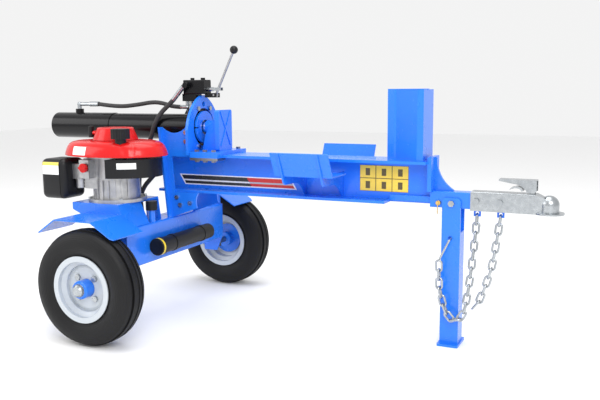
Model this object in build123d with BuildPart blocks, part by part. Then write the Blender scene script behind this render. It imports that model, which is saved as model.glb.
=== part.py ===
"""Towable log splitter with a horizontal beam, a ram, a fixed wedge and a vertical-shaft engine.

Millimetres.  X runs along the beam towards the tow coupler, Y across, Z up from the ground.
The origin is on the ground below the middle of the machine.
"""
from build123d import *
from math import cos, pi, radians, sin, tan
import os

os.makedirs("parts", exist_ok=True)

# ---------------------------------------------------------------- driving dimensions
LENGTH = 2086.0                      # cylinder cap to the lip of the coupler
AXLE_X = -472.0
TYRE_R = 207.0                       # 4.80-8 trailer tyre
TYRE_W = 122.0
TRACK = 943.0                        # wheel centre to wheel centre
AXLE_Z = TYRE_R

BEAM_Y = 44.0                        # the beam stands off centre, away from the engine
BEAM_TOP = 641.0
BEAM_H = 150.0
FLANGE_W = 152.0
FLANGE_T = 10.0
WEB_T = 8.0
BEAM_X0 = AXLE_X - 10.0
BEAM_X1 = AXLE_X + 1073.0
LOWER_FLANGE_X1 = AXLE_X + 929.0
BEAM_BOTTOM = BEAM_TOP - BEAM_H

CYL_Z = 742.0                        # axis of the ram
CYL_R = 51.0
CYL_BORE_R = 44.5
CYL_X0 = -LENGTH / 2
BULKHEAD_X = AXLE_X + 148.0
BULKHEAD_T = 12.0
ROD_R = 22.0

PUSHER_X = AXLE_X + 257.0            # front face of the pusher, ram drawn back
PUSHER_T = 20.0
PUSHER_W = 98.0
PUSHER_H = 168.0
SLIDE_X0 = AXLE_X + 162.0
SLIDE_X1 = AXLE_X + 284.0
SLIDE_T = 12.0
SLIDE_GAP = 0.4
STROKE = 590.0

WEDGE_X0 = AXLE_X + 914.0
WEDGE_X1 = AXLE_X + 1060.0
WEDGE_H = 244.0

TUBE_W = 50.0
TUBE_Z0 = 482.0
TUBE_Z1 = 538.0
PIVOT_X = AXLE_X + 1153.0
PIVOT_Z = 499.0
LEG_W = 64.0
LEG_T = 6.0
LOCK_PIN_X = PIVOT_X - 46.0

COUPLER_X0 = AXLE_X + 1216.0
CLAMP_BOLT_X = (COUPLER_X0 + 19, COUPLER_X0 + 97)
COUPLER_T = 4.0
BALL_X = AXLE_X + 1467.0
BALL_Z = 508.0
BALL_R = 25.4                        # two inch tow ball
SOCKET_R = 31.0

TANK_X0 = AXLE_X - 38.0
TANK_X1 = AXLE_X + 60.0
TANK_Z0 = 240.0
TANK_Z1 = 391.0
TANK_Y = 328.0
TANK_WALL = 5.0

ENGINE_X = AXLE_X - 70.0
ENGINE_Y = -212.0
DECK_Z = 476.0
COVER_Z = 648.0

SPINDLE_R = 12.7
FIT = 0.05                           # radial running clearance


# ---------------------------------------------------------------- small helpers
def keep(piece, name):
    """Label a finished piece and write its file."""
    piece.part.label = name
    export_step(piece.part, "parts/" + name + ".step")


def hex_bolt(radius, length, nut_at=None):
    """A hexagon bolt: head above the origin, shank below it, nut at a depth if one is wanted."""
    across = radius * 1.65
    with BuildPart() as bolt:
        with BuildSketch(Plane.XY):
            RegularPolygon(across, 6, major_radius=False)
        extrude(amount=radius * 1.3)
        if length:
            with BuildSketch(Plane.XY):
                Circle(radius)
            extrude(amount=-length)
        if nut_at is not None:
            with BuildSketch(Plane.XY.offset(-nut_at)):
                RegularPolygon(across, 6, major_radius=False)
            extrude(amount=-radius * 1.6)
    return bolt.part


def facing(x, y, z, direction, x_dir=None):
    """A plane at a point that faces a direction."""
    if x_dir is None:
        x_dir = (1, 0, 0) if abs(direction[0]) < 0.9 else (0, 1, 0)
    return Plane(origin=(x, y, z), x_dir=x_dir, z_dir=direction)


def cord_radii(points):
    """Bend radius at each inner point: 0.45 of the shorter run over the tangent of half the turn."""
    radii = []
    for a, b, c in zip(points, points[1:], points[2:]):
        before = Vector(*b) - Vector(*a)
        after = Vector(*c) - Vector(*b)
        half_turn = radians(before.get_angle(after)) / 2
        radii.append(0.45 * min(before.length, after.length) / tan(half_turn))
    return radii


def cord(points, diameter, name):
    """A hose along straight runs joined by tangent arcs."""
    radii = cord_radii(points)
    with BuildPart() as hose:
        with BuildLine() as route:
            FilletPolyline(*points, radius=radii)
        path = route.wire()
        with BuildSketch(Plane(origin=path @ 0, z_dir=path % 0)):
            Circle(diameter / 2)
        sweep(path=path)
    length = path.length
    expected = pi * diameter ** 2 / 4 * length
    print(name, "length", round(length), "radii", [round(r) for r in radii],
          "volume ratio", round(hose.part.volume / expected, 4))
    keep(hose, name)


def rod_between(start, end, radius):
    """A round bar from one point to another."""
    along = Vector(*end) - Vector(*start)
    with BuildPart() as bar:
        with BuildSketch(Plane(origin=start, z_dir=along)):
            Circle(radius)
        extrude(amount=along.length)
    return bar.part


def block(x0, x1, y0, y1, z0, z1):
    """A box between two corners."""
    with BuildPart() as box:
        with Locations(((x0 + x1) / 2, (y0 + y1) / 2, (z0 + z1) / 2)):
            Box(x1 - x0, y1 - y0, z1 - z0)
    return box.part


# ---------------------------------------------------------------- beam and frame
with BuildPart() as main_beam:
    with BuildSketch(Plane.XY.offset(BEAM_TOP - FLANGE_T)):
        with Locations(((BEAM_X0 + BEAM_X1) / 2, BEAM_Y)):
            Rectangle(BEAM_X1 - BEAM_X0, FLANGE_W)
    extrude(amount=FLANGE_T)
    with BuildSketch(Plane.XY.offset(BEAM_BOTTOM)):
        with Locations(((BEAM_X0 + BEAM_X1) / 2, BEAM_Y)):
            Rectangle(BEAM_X1 - BEAM_X0, WEB_T)
    extrude(amount=BEAM_H)
    with BuildSketch(Plane.XY.offset(BEAM_BOTTOM)):
        with Locations(((BEAM_X0 + LOWER_FLANGE_X1) / 2, BEAM_Y)):
            Rectangle(LOWER_FLANGE_X1 - BEAM_X0, FLANGE_W)
    extrude(amount=FLANGE_T)
keep(main_beam, "main_beam")

# the two C-shaped plates that hold the beam on the tank and cradle the cylinder
SIDE_T = 8.0
PLATE_Y = FLANGE_W / 2
FOLD_W = 24.0
for side, name in ((-1, "side_plate_near"), (1, "side_plate_far")):
    inner = Plane(origin=(AXLE_X, BEAM_Y + side * PLATE_Y, 0), x_dir=(1, 0, 0), z_dir=(0, -1, 0))
    outer = inner.offset(-side * SIDE_T)
    with BuildPart() as side_plate:
        with BuildSketch(inner):
            with BuildLine():
                Polyline((16, 744), (48, TANK_Z1), (60, TANK_Z1), (170, 432))
                ThreePointArc((170, 432), (166, 462), (178, BEAM_BOTTOM))
                Polyline((178, BEAM_BOTTOM), (70, BEAM_BOTTOM), (58, 631), (146, 631), (146, 770))
                ThreePointArc((146, 770), (72, 722), (16, 744))
            make_face()
        extrude(amount=-side * SIDE_T)
        with BuildSketch(outer):
            Polygon((16, 744), (48, TANK_Z1), (56, TANK_Z1), (24, 744), align=None)
        extrude(amount=-side * FOLD_W)
    keep(side_plate, name)

# upright plate with a pointed arch that the cylinder is bolted to
ARCH_W = 232.0
ARCH_TOP = 866.0
OPENING_R = 74.0
LIFT_EYE_R = 10.0
MOUNT_BOLT_Y = 42.0
MOUNT_BOLT_Z = 73.0
with BuildPart() as cylinder_mount:
    with BuildSketch(Plane(origin=(BULKHEAD_X, BEAM_Y, 0), x_dir=(0, 1, 0), z_dir=(1, 0, 0))):
        with BuildLine():
            Polyline((-8, ARCH_TOP), (8, ARCH_TOP))
            ThreePointArc((8, ARCH_TOP), (82, 812), (ARCH_W / 2, 735))
            Polyline((ARCH_W / 2, 735), (ARCH_W / 2, BEAM_TOP), (-ARCH_W / 2, BEAM_TOP), (-ARCH_W / 2, 735))
            ThreePointArc((-ARCH_W / 2, 735), (-82, 812), (-8, ARCH_TOP))
        make_face()
        with Locations((0, CYL_Z)):
            Circle(OPENING_R, mode=Mode.SUBTRACT)
        with Locations((0, ARCH_TOP - 34)):
            Circle(LIFT_EYE_R, mode=Mode.SUBTRACT)
        with Locations((0, CYL_Z)):
            with GridLocations(2 * MOUNT_BOLT_Y, 2 * MOUNT_BOLT_Z, 2, 2):
                Circle(5.5, mode=Mode.SUBTRACT)
    extrude(amount=BULKHEAD_T)
keep(cylinder_mount, "cylinder_mount")

# ---------------------------------------------------------------- cylinder
FLANGE_R = 96.0
HEAD_X = BULKHEAD_X - 2.0
CAP_T = 26.0
REAR_PORT_X = AXLE_X - 458.0
FRONT_PORT_X = AXLE_X + 104.0
PORT_TOP = CYL_Z + CYL_R + 18.0
with BuildPart() as cylinder_barrel:
    with BuildSketch(facing(CYL_X0, BEAM_Y, CYL_Z, (1, 0, 0))):
        Circle(CYL_R)
    extrude(amount=HEAD_X - CYL_X0)
    fillet(cylinder_barrel.edges().sort_by(Axis.X)[0], 14)
    with BuildSketch(facing(BULKHEAD_X - 14, BEAM_Y, CYL_Z, (1, 0, 0))):
        Circle(FLANGE_R)
        Rectangle(2 * PLATE_Y - 1, 2 * FLANGE_R, mode=Mode.INTERSECT)
    extrude(amount=14)
    with BuildSketch(facing(AXLE_X - 270, BEAM_Y, CYL_Z, (1, 0, 0))):
        Circle(CYL_R + 2.5)
    extrude(amount=-300)
    for port_x in (REAR_PORT_X, FRONT_PORT_X):
        with BuildSketch(Plane.XY.offset(CYL_Z)):
            with Locations((port_x, BEAM_Y)):
                Circle(17)
        extrude(amount=CYL_R + 18)
    with BuildSketch(facing(CYL_X0 + CAP_T, BEAM_Y, CYL_Z, (1, 0, 0))):
        Circle(CYL_BORE_R)
    extrude(amount=BULKHEAD_X - CYL_X0, mode=Mode.SUBTRACT)
    for port_x in (REAR_PORT_X, FRONT_PORT_X):
        with BuildSketch(Plane.XY.offset(CYL_Z)):
            with Locations((port_x, BEAM_Y)):
                Circle(8)
        extrude(amount=CYL_R + 20, mode=Mode.SUBTRACT)
    with BuildSketch(facing(BULKHEAD_X + 1, BEAM_Y, CYL_Z, (1, 0, 0))):
        with GridLocations(2 * MOUNT_BOLT_Y, 2 * MOUNT_BOLT_Z, 2, 2):
            Circle(5.5)
    extrude(amount=-20, mode=Mode.SUBTRACT)
keep(cylinder_barrel, "cylinder_barrel")

GLAND_X0 = BULKHEAD_X - 34.0
with BuildPart() as cylinder_gland:
    with BuildSketch(facing(GLAND_X0, BEAM_Y, CYL_Z, (1, 0, 0))):
        Circle(CYL_BORE_R)
        Circle(ROD_R + FIT, mode=Mode.SUBTRACT)
    extrude(amount=BULKHEAD_X + 8 - GLAND_X0)
    with BuildSketch(facing(GLAND_X0 - 1, BEAM_Y, CYL_Z, (1, 0, 0))):
        Circle(CYL_BORE_R + 1)
        Circle(ROD_R + 8, mode=Mode.SUBTRACT)
    extrude(amount=6, mode=Mode.SUBTRACT)
keep(cylinder_gland, "cylinder_gland")

RING_R = 63.0
with BuildPart() as retaining_ring:
    with BuildSketch(facing(BULKHEAD_X + 8, BEAM_Y, CYL_Z, (1, 0, 0))):
        Circle(RING_R)
        Circle(ROD_R + 6, mode=Mode.SUBTRACT)
        with Locations((-RING_R + 8, 0)):
            Rectangle(20, 5, mode=Mode.SUBTRACT)
    extrude(amount=10)
    fillet(retaining_ring.edges().group_by(Axis.X)[-1].filter_by(GeomType.CIRCLE), 1.5)
keep(retaining_ring, "retaining_ring")

# ---------------------------------------------------------------- ram
PISTON_REAR_X = CYL_X0 + CAP_T + 13.0
PISTON_L = 40.0
ROD_END_X = PUSHER_X - PUSHER_T - 32.0
with BuildPart() as ram_rod:
    with BuildSketch(facing(PISTON_REAR_X + 5, BEAM_Y, CYL_Z, (1, 0, 0))):
        Circle(ROD_R)
    extrude(amount=ROD_END_X - PISTON_REAR_X - 5)
    with BuildSketch(facing(PISTON_REAR_X - 12, BEAM_Y, CYL_Z, (1, 0, 0))):
        Circle(13)
    extrude(amount=18)
keep(ram_rod, "ram_rod")

with BuildPart() as ram_piston:
    with BuildSketch(facing(PISTON_REAR_X, BEAM_Y, CYL_Z, (1, 0, 0))):
        Circle(CYL_BORE_R - FIT)
        Circle(13, mode=Mode.SUBTRACT)
    extrude(amount=PISTON_L)
    with BuildSketch(facing(PISTON_REAR_X + 5, BEAM_Y, CYL_Z, (1, 0, 0))):
        Circle(ROD_R)
    extrude(amount=PISTON_L, mode=Mode.SUBTRACT)
    for groove_x in (9, 18, 27):
        with BuildSketch(facing(PISTON_REAR_X + groove_x, BEAM_Y, CYL_Z, (1, 0, 0))):
            Circle(CYL_BORE_R + 1)
            Circle(CYL_BORE_R - 2.5, mode=Mode.SUBTRACT)
        extrude(amount=3, mode=Mode.SUBTRACT)
keep(ram_piston, "ram_piston")

# ---------------------------------------------------------------- pusher and its slide
SLIDE_Z0 = BEAM_TOP + SLIDE_GAP
SLIDE_HALF = FLANGE_W / 2 + 35.0
SIDE_BAR_Y = FLANGE_W / 2 + 1.0
KEEPER_T = 10.0
BAR_Z0 = BEAM_TOP - FLANGE_T - SLIDE_GAP
PLATE_Z0 = SLIDE_Z0 + SLIDE_T
CROSS_H = 3.0
with BuildPart() as pusher:
    with BuildSketch(Plane.XY.offset(SLIDE_Z0)):
        with Locations(((SLIDE_X0 + SLIDE_X1) / 2, BEAM_Y)):
            Rectangle(SLIDE_X1 - SLIDE_X0, 2 * SLIDE_HALF)
    extrude(amount=SLIDE_T)
    with BuildSketch(Plane.XY.offset(BAR_Z0)):
        with Locations(((SLIDE_X0 + SLIDE_X1) / 2, BEAM_Y)):
            for side in (-1, 1):
                with Locations((0, side * (SIDE_BAR_Y + SLIDE_HALF) / 2)):
                    Rectangle(SLIDE_X1 - SLIDE_X0, SLIDE_HALF - SIDE_BAR_Y)
    extrude(amount=SLIDE_Z0 - BAR_Z0)
    with BuildSketch(facing(PUSHER_X, BEAM_Y, 0, (-1, 0, 0), (0, 1, 0))):
        with Locations((0, -(PLATE_Z0 + PUSHER_H / 2 - 6))):
            RectangleRounded(PUSHER_W, PUSHER_H - 12, 8)
    extrude(amount=PUSHER_T)
    for side in (-1, 1):
        with BuildSketch(Plane(origin=(0, BEAM_Y + side * (ROD_R + 11), 0), x_dir=(1, 0, 0), z_dir=(0, -1, 0))):
            Polygon(
                (PUSHER_X - PUSHER_T, PLATE_Z0),
                (PUSHER_X - PUSHER_T, CYL_Z + 34),
                (PUSHER_X - PUSHER_T - 24, CYL_Z + 20),
                (SLIDE_X0 + 26, CYL_Z - 30),
                (SLIDE_X0 + 12, PLATE_Z0),
                align=None,
            )
        extrude(amount=5, both=True)
    for slope in (-1, 1):
        with BuildSketch(facing(PUSHER_X, BEAM_Y, PLATE_Z0 + PUSHER_H / 2, (1, 0, 0))):
            with Locations(Location((0, 0, 0), (0, 0, 90 + slope * 29))):
                Rectangle(150, 5)
        extrude(amount=CROSS_H)
    with BuildSketch(facing(ROD_END_X, BEAM_Y, CYL_Z, (1, 0, 0))):
        Circle(ROD_R + 5)
        Circle(ROD_R, mode=Mode.SUBTRACT)
    extrude(amount=-26)
    with BuildSketch(facing(ROD_END_X, BEAM_Y, CYL_Z, (1, 0, 0))):
        Circle(ROD_R + 5)
    extrude(amount=PUSHER_X - PUSHER_T - ROD_END_X)
keep(pusher, "pusher")

# keeper bars under the beam flange, with the bolts that hold them to the slide
BOLT_XS = (SLIDE_X0 + 22, SLIDE_X0 + 58, SLIDE_X0 + 96)
BOLT_Y = (SIDE_BAR_Y + SLIDE_HALF) / 2
KEEPER_W = 60.0
with BuildPart() as pusher_keepers:
    for side in (-1, 1):
        with BuildSketch(Plane.XY.offset(BAR_Z0)):
            with Locations(((SLIDE_X0 + SLIDE_X1) / 2, BEAM_Y + side * (SLIDE_HALF - KEEPER_W / 2))):
                Rectangle(SLIDE_X1 - SLIDE_X0, KEEPER_W)
        extrude(amount=-KEEPER_T)
        for bolt_x in BOLT_XS:
            for z, up in ((PLATE_Z0, 1), (BAR_Z0 - KEEPER_T, -1)):
                with BuildSketch(Plane(origin=(bolt_x, BEAM_Y + side * BOLT_Y, z), z_dir=(0, 0, up))):
                    RegularPolygon(8.5, 6, major_radius=False)
                extrude(amount=7)
keep(pusher_keepers, "pusher_keepers")

# ---------------------------------------------------------------- wedge
KNIFE_T = 16.0
WING_W = 62.0
with BuildPart() as wedge_knife:
    with BuildSketch(Plane.XY.offset(BEAM_TOP)):
        with BuildLine():
            Polyline(
                (WEDGE_X0, BEAM_Y),
                (WEDGE_X0 + 26, BEAM_Y - KNIFE_T / 2),
                (WEDGE_X1, BEAM_Y - KNIFE_T / 2),
                (WEDGE_X1, BEAM_Y + KNIFE_T / 2),
                (WEDGE_X0 + 26, BEAM_Y + KNIFE_T / 2),
                close=True,
            )
        make_face()
    extrude(amount=WEDGE_H)
keep(wedge_knife, "wedge_knife")

with BuildPart() as wedge_wings:
    for side in (-1, 1):
        root = BEAM_Y + side * KNIFE_T / 2
        with BuildSketch(Plane.XY.offset(BEAM_TOP)):
            with BuildLine():
                Polyline(
                    (WEDGE_X0 + 34, root),
                    (WEDGE_X1 - 22, BEAM_Y + side * WING_W),
                    (WEDGE_X1, BEAM_Y + side * WING_W),
                    (WEDGE_X1, root),
                    close=True,
                )
            make_face()
        extrude(amount=WEDGE_H - 2)
keep(wedge_wings, "wedge_wings")

# ---------------------------------------------------------------- log cradles
CRADLE_X0 = AXLE_X + 571.0
CRADLE_X1 = AXLE_X + 788.0
CRADLE_T = 5.0
SHELF_IN = 78.0                      # the flat foot of the bent plate, out from the beam's middle
SHELF_OUT = 200.0
SHELF_Z = 592.0
GUSSET_T = 6.0
for side, name in ((-1, "log_cradle_near"), (1, "log_cradle_far")):
    with BuildPart() as log_cradle:
        with BuildSketch(facing(CRADLE_X0, BEAM_Y, 0, (1, 0, 0), (0, 1, 0))):
            with BuildLine():
                Polyline(
                    (side * SHELF_IN, SHELF_Z),
                    (side * SHELF_OUT, SHELF_Z),
                    (side * 240, 672),
                    (side * 244, 670),
                    (side * (SHELF_OUT + 3), SHELF_Z - CRADLE_T),
                    (side * SHELF_IN, SHELF_Z - CRADLE_T),
                    close=True,
                )
            make_face()
        extrude(amount=CRADLE_X1 - CRADLE_X0)
        for gusset_x in (CRADLE_X0 + 28, CRADLE_X1 - 42):
            with BuildSketch(facing(gusset_x, BEAM_Y, 0, (1, 0, 0), (0, 1, 0))):
                with BuildLine():
                    foot = (side * 20, BEAM_BOTTOM + FLANGE_T)
                    neck = (side * 86, 552)
                    Polyline(
                        foot,
                        (side * WEB_T / 2, BEAM_BOTTOM + FLANGE_T),
                        (side * WEB_T / 2, SHELF_Z - 2),
                        (side * (SHELF_OUT + 1), SHELF_Z - 2),
                        (side * 242, 670),
                        (side * 247, 669),
                        (side * 200, 564),
                        (side * 190, 556),
                        neck,
                    )
                    ThreePointArc(neck, (side * 58, 538), foot)
                make_face()
            extrude(amount=GUSSET_T)
    keep(log_cradle, name)

# ---------------------------------------------------------------- tongue
END_T = 14.0
with BuildPart() as tongue:
    with BuildSketch(facing(BEAM_X1, BEAM_Y, 0, (1, 0, 0), (0, 1, 0))):
        with Locations((0, (TUBE_Z1 + 655) / 2)):
            Rectangle(104, 655 - TUBE_Z1)
    extrude(amount=END_T)
    with BuildSketch(Plane(origin=(0, BEAM_Y, 0), x_dir=(1, 0, 0), z_dir=(0, -1, 0))):
        with BuildLine():
            tip_x = BEAM_X1 + END_T
            Polyline((tip_x, TUBE_Z1), (tip_x, 652), (tip_x + 8, 652))
            ThreePointArc((tip_x + 8, 652), (tip_x + 22, 588), (tip_x + 66, TUBE_Z1 + 4))
            Polyline((tip_x + 66, TUBE_Z1 + 4), (tip_x + 66, TUBE_Z1), (tip_x, TUBE_Z1))
        make_face()
    extrude(amount=6, both=True)
    with BuildSketch(facing(BEAM_X1 + 4, BEAM_Y, (TUBE_Z0 + TUBE_Z1) / 2, (1, 0, 0))):
        RectangleRounded(TUBE_W, TUBE_Z1 - TUBE_Z0, 4)
    extrude(amount=COUPLER_X0 + 146 - BEAM_X1)
    with BuildSketch(facing(BEAM_X1 + 10, BEAM_Y, (TUBE_Z0 + TUBE_Z1) / 2, (1, 0, 0))):
        Rectangle(TUBE_W - 10, TUBE_Z1 - TUBE_Z0 - 10)
    extrude(amount=COUPLER_X0 + 160 - BEAM_X1, mode=Mode.SUBTRACT)
    with BuildSketch(Plane(origin=(0, BEAM_Y, 0), x_dir=(1, 0, 0), z_dir=(0, -1, 0))):
        with Locations((PIVOT_X, PIVOT_Z), (LOCK_PIN_X, PIVOT_Z), (CLAMP_BOLT_X[0], 511), (CLAMP_BOLT_X[1], 510)):
            Circle(6 + FIT)
    extrude(amount=TUBE_W, both=True, mode=Mode.SUBTRACT)
    with BuildSketch(Plane.XY.offset(BEAM_BOTTOM + 6)):
        with Locations(((LOWER_FLANGE_X1 + BEAM_X1) / 2 + 3, BEAM_Y - WEB_T / 2 - 6)):
            Rectangle(BEAM_X1 - LOWER_FLANGE_X1 + 6, 12)
    extrude(amount=20)
    for tab_x in CLAMP_BOLT_X:
        with BuildSketch(Plane(origin=(0, BEAM_Y, 0), x_dir=(1, 0, 0), z_dir=(0, -1, 0))):
            with Locations((tab_x, (TUBE_Z0 + 456) / 2 + 1)):
                Rectangle(24, TUBE_Z0 - 454)
            with Locations((tab_x, 467)):
                Circle(6, mode=Mode.SUBTRACT)
        extrude(amount=2, both=True)
keep(tongue, "tongue")

# ---------------------------------------------------------------- folding support leg
LEG_HALF = LEG_W / 2
EAR_TOP = PIVOT_Z + 19.0
FRONT_WALL_TOP = PIVOT_Z - 99.0
FOOT_T = 8.0
with BuildPart() as support_leg:
    with BuildSketch(Plane(origin=(0, BEAM_Y, 0), x_dir=(1, 0, 0), z_dir=(0, -1, 0))):
        with Locations((PIVOT_X, (EAR_TOP + FOOT_T) / 2)):
            Rectangle(LEG_W, EAR_TOP - FOOT_T)
    extrude(amount=LEG_HALF, both=True)
    fillet(support_leg.edges().filter_by(Axis.Y).group_by(Axis.Z)[-1], 14)
    with BuildSketch(Plane.XY.offset(FOOT_T)):
        with Locations((PIVOT_X - LEG_T, BEAM_Y)):
            Rectangle(LEG_W, LEG_W - 2 * LEG_T)
    extrude(amount=EAR_TOP, mode=Mode.SUBTRACT)
    with BuildSketch(Plane.XY.offset(FRONT_WALL_TOP)):
        with Locations((PIVOT_X, BEAM_Y)):
            Rectangle(LEG_W + 2, LEG_W - 2 * LEG_T)
    extrude(amount=EAR_TOP, mode=Mode.SUBTRACT)
    with BuildSketch(Plane.XY):
        with Locations((PIVOT_X, BEAM_Y)):
            RectangleRounded(74, 110, 6)
    extrude(amount=FOOT_T)
    with BuildSketch(Plane(origin=(0, BEAM_Y, 0), x_dir=(1, 0, 0), z_dir=(0, -1, 0))):
        with Locations((PIVOT_X, PIVOT_Z)):
            Circle(6 + FIT)
        with Locations((PIVOT_X - 2, 380)):
            Circle(7)
    extrude(amount=LEG_W, both=True, mode=Mode.SUBTRACT)
keep(support_leg, "support_leg")

with BuildPart() as lock_pin:
    near_y = BEAM_Y - TUBE_W / 2
    with BuildSketch(facing(LOCK_PIN_X, near_y - 1, PIVOT_Z, (0, -1, 0))):
        Circle(8.5)
    extrude(amount=9)
    fillet(lock_pin.edges().sort_by(Axis.Y)[0], 2)
    with BuildSketch(facing(LOCK_PIN_X, near_y - 1, PIVOT_Z, (0, 1, 0))):
        Circle(6)
    extrude(amount=TUBE_W + 6)
    with BuildLine() as ring_path:
        ring_y = near_y - 14
        pin_z = PIVOT_Z
        Polyline((LOCK_PIN_X, ring_y, pin_z), (LOCK_PIN_X, ring_y, pin_z - 36))
        ThreePointArc(
            (LOCK_PIN_X, ring_y, pin_z - 36),
            (LOCK_PIN_X + 14, ring_y, pin_z - 31),
            (LOCK_PIN_X + 16, ring_y, pin_z - 16),
        )
    with BuildSketch(Plane(origin=ring_path.wire() @ 0, z_dir=ring_path.wire() % 0)):
        Circle(1.6)
    sweep(path=ring_path.wire())
    with BuildSketch(facing(LOCK_PIN_X, near_y - 10, PIVOT_Z, (0, -1, 0))):
        Circle(4)
    extrude(amount=5.5)
keep(lock_pin, "lock_pin")

# ---------------------------------------------------------------- tow coupler
COUPLER_HALF = TUBE_W / 2 + 0.4 + COUPLER_T
COUPLER_TOP = TUBE_Z1 + 0.4 + COUPLER_T
COUPLER_Z0 = 478.0
CHANNEL_X1 = BALL_X - 42.0
LIP_R = LENGTH / 2 - BALL_X
LATCH_PIVOT_X = AXLE_X + 1412.0
LATCH_PIVOT_Z = 571.0
with BuildPart() as coupler_body:
    with BuildSketch(facing(COUPLER_X0, BEAM_Y, 0, (1, 0, 0), (0, 1, 0))):
        with Locations((0, (COUPLER_Z0 + COUPLER_TOP) / 2)):
            Rectangle(2 * COUPLER_HALF, COUPLER_TOP - COUPLER_Z0)
        with Locations((0, (COUPLER_Z0 + COUPLER_TOP) / 2 - COUPLER_T)):
            Rectangle(2 * COUPLER_HALF - 2 * COUPLER_T, COUPLER_TOP - COUPLER_Z0, mode=Mode.SUBTRACT)
    extrude(amount=CHANNEL_X1 - COUPLER_X0)
    fillet(coupler_body.edges().filter_by(Axis.X).group_by(Axis.Z)[-1], 3.5)
    with BuildSketch(facing(CHANNEL_X1, BEAM_Y, 0, (1, 0, 0), (0, 1, 0))):
        with Locations((0, (COUPLER_Z0 + COUPLER_TOP) / 2)):
            Rectangle(2 * COUPLER_HALF, COUPLER_TOP - COUPLER_Z0)
    with BuildSketch(facing(BALL_X - 8, BEAM_Y, 0, (1, 0, 0), (0, 1, 0))):
        with Locations((0, (COUPLER_Z0 + 528) / 2)):
            Rectangle(40, 528 - COUPLER_Z0)
    loft()
    with BuildSketch(Plane.XY.offset(COUPLER_Z0)):
        with Locations((BALL_X, BEAM_Y)):
            Circle(LIP_R)
        with Locations(((CHANNEL_X1 + BALL_X) / 2, BEAM_Y)):
            Rectangle(BALL_X - CHANNEL_X1, 2 * COUPLER_HALF)
    extrude(amount=5)
    with Locations((BALL_X, BEAM_Y, BALL_Z)):
        Sphere(SOCKET_R)
    with BuildSketch(Plane.XY.offset(COUPLER_Z0)):
        with Locations((BALL_X, BEAM_Y)):
            Circle(SOCKET_R)
    extrude(amount=BALL_Z - COUPLER_Z0)
    with Locations((BALL_X, BEAM_Y, BALL_Z)):
        Sphere(BALL_R + 0.8, mode=Mode.SUBTRACT)
    with BuildSketch(Plane.XY.offset(COUPLER_Z0 - 1)):
        with Locations((BALL_X, BEAM_Y)):
            Circle(BALL_R + 0.8)
    extrude(amount=BALL_Z - COUPLER_Z0 + 1, mode=Mode.SUBTRACT)
    with BuildSketch(Plane.XY.offset(COUPLER_Z0 - 1)):
        with Locations(((CHANNEL_X1 + BALL_X) / 2 - 18, BEAM_Y)):
            Rectangle(BALL_X - CHANNEL_X1 - 30, 30)
    extrude(amount=50, mode=Mode.SUBTRACT)
    for side in (-1, 1):
        with BuildSketch(Plane(origin=(0, BEAM_Y + side * 12, 0), x_dir=(1, 0, 0), z_dir=(0, -1, 0))):
            with Locations((LATCH_PIVOT_X, (COUPLER_TOP + LATCH_PIVOT_Z + 8) / 2 - 1)):
                RectangleRounded(18, LATCH_PIVOT_Z + 10 - COUPLER_TOP, 5)
            with Locations((LATCH_PIVOT_X, LATCH_PIVOT_Z)):
                Circle(4 + FIT, mode=Mode.SUBTRACT)
        extrude(amount=2, both=True)
    with BuildSketch(Plane(origin=(0, BEAM_Y, 0), x_dir=(1, 0, 0), z_dir=(0, -1, 0))):
        with Locations((CLAMP_BOLT_X[0], 511), (CLAMP_BOLT_X[1], 510)):
            Circle(6 + FIT)
    extrude(amount=TUBE_W, both=True, mode=Mode.SUBTRACT)
keep(coupler_body, "coupler_body")

LATCH_X0 = AXLE_X + 1306.0
LATCH_X1 = AXLE_X + 1427.0
LATCH_TOP = 588.0
LATCH_HALF = 20.0
with BuildPart() as coupler_latch:
    with BuildSketch(Plane(origin=(0, BEAM_Y, 0), x_dir=(1, 0, 0), z_dir=(0, -1, 0))):
        with BuildLine():
            Polyline(
                (LATCH_X0, LATCH_TOP),
                (LATCH_X1, LATCH_TOP),
                (LATCH_X1, LATCH_PIVOT_Z - 20),
                (LATCH_X1 - 8, LATCH_PIVOT_Z - 24),
                (LATCH_X1 - 30, LATCH_PIVOT_Z - 24),
            )
            ThreePointArc(
                (LATCH_X1 - 30, LATCH_PIVOT_Z - 24),
                (LATCH_X1 - 44, LATCH_TOP - 24),
                (LATCH_X1 - 68, LATCH_TOP - 15),
            )
            Polyline((LATCH_X1 - 68, LATCH_TOP - 15), (LATCH_X0, LATCH_TOP - 6), (LATCH_X0, LATCH_TOP))
        make_face()
    extrude(amount=LATCH_HALF, both=True)
    with BuildSketch(Plane.XY.offset(LATCH_TOP - 3)):
        with Locations(((LATCH_X0 + LATCH_X1) / 2, BEAM_Y)):
            Rectangle(LATCH_X1 - LATCH_X0 + 2, 2 * LATCH_HALF - 6)
    extrude(amount=-60, mode=Mode.SUBTRACT)
    with BuildSketch(Plane(origin=(0, BEAM_Y, 0), x_dir=(1, 0, 0), z_dir=(0, -1, 0))):
        with Locations((LATCH_PIVOT_X, LATCH_PIVOT_Z)):
            Circle(4)
    extrude(amount=LATCH_HALF + 3, both=True)
    with BuildSketch(Plane(origin=(0, BEAM_Y, 0), x_dir=(1, 0, 0), z_dir=(0, -1, 0))):
        with BuildLine():
            Polyline((LATCH_X0 + 32, 553), (LATCH_X0 + 40, 561), (LATCH_X0 + 58, 566))
            ThreePointArc((LATCH_X0 + 58, 566), (LATCH_X0 + 72, 562), (LATCH_X0 + 80, 552))
            Polyline((LATCH_X0 + 80, 552), (LATCH_X0 + 74, 549))
            ThreePointArc((LATCH_X0 + 74, 549), (LATCH_X0 + 64, 558), (LATCH_X0 + 50, 559))
            Polyline((LATCH_X0 + 50, 559), (LATCH_X0 + 32, 553))
        make_face()
    extrude(amount=LATCH_HALF - 3, both=True)
keep(coupler_latch, "coupler_latch")

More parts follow.
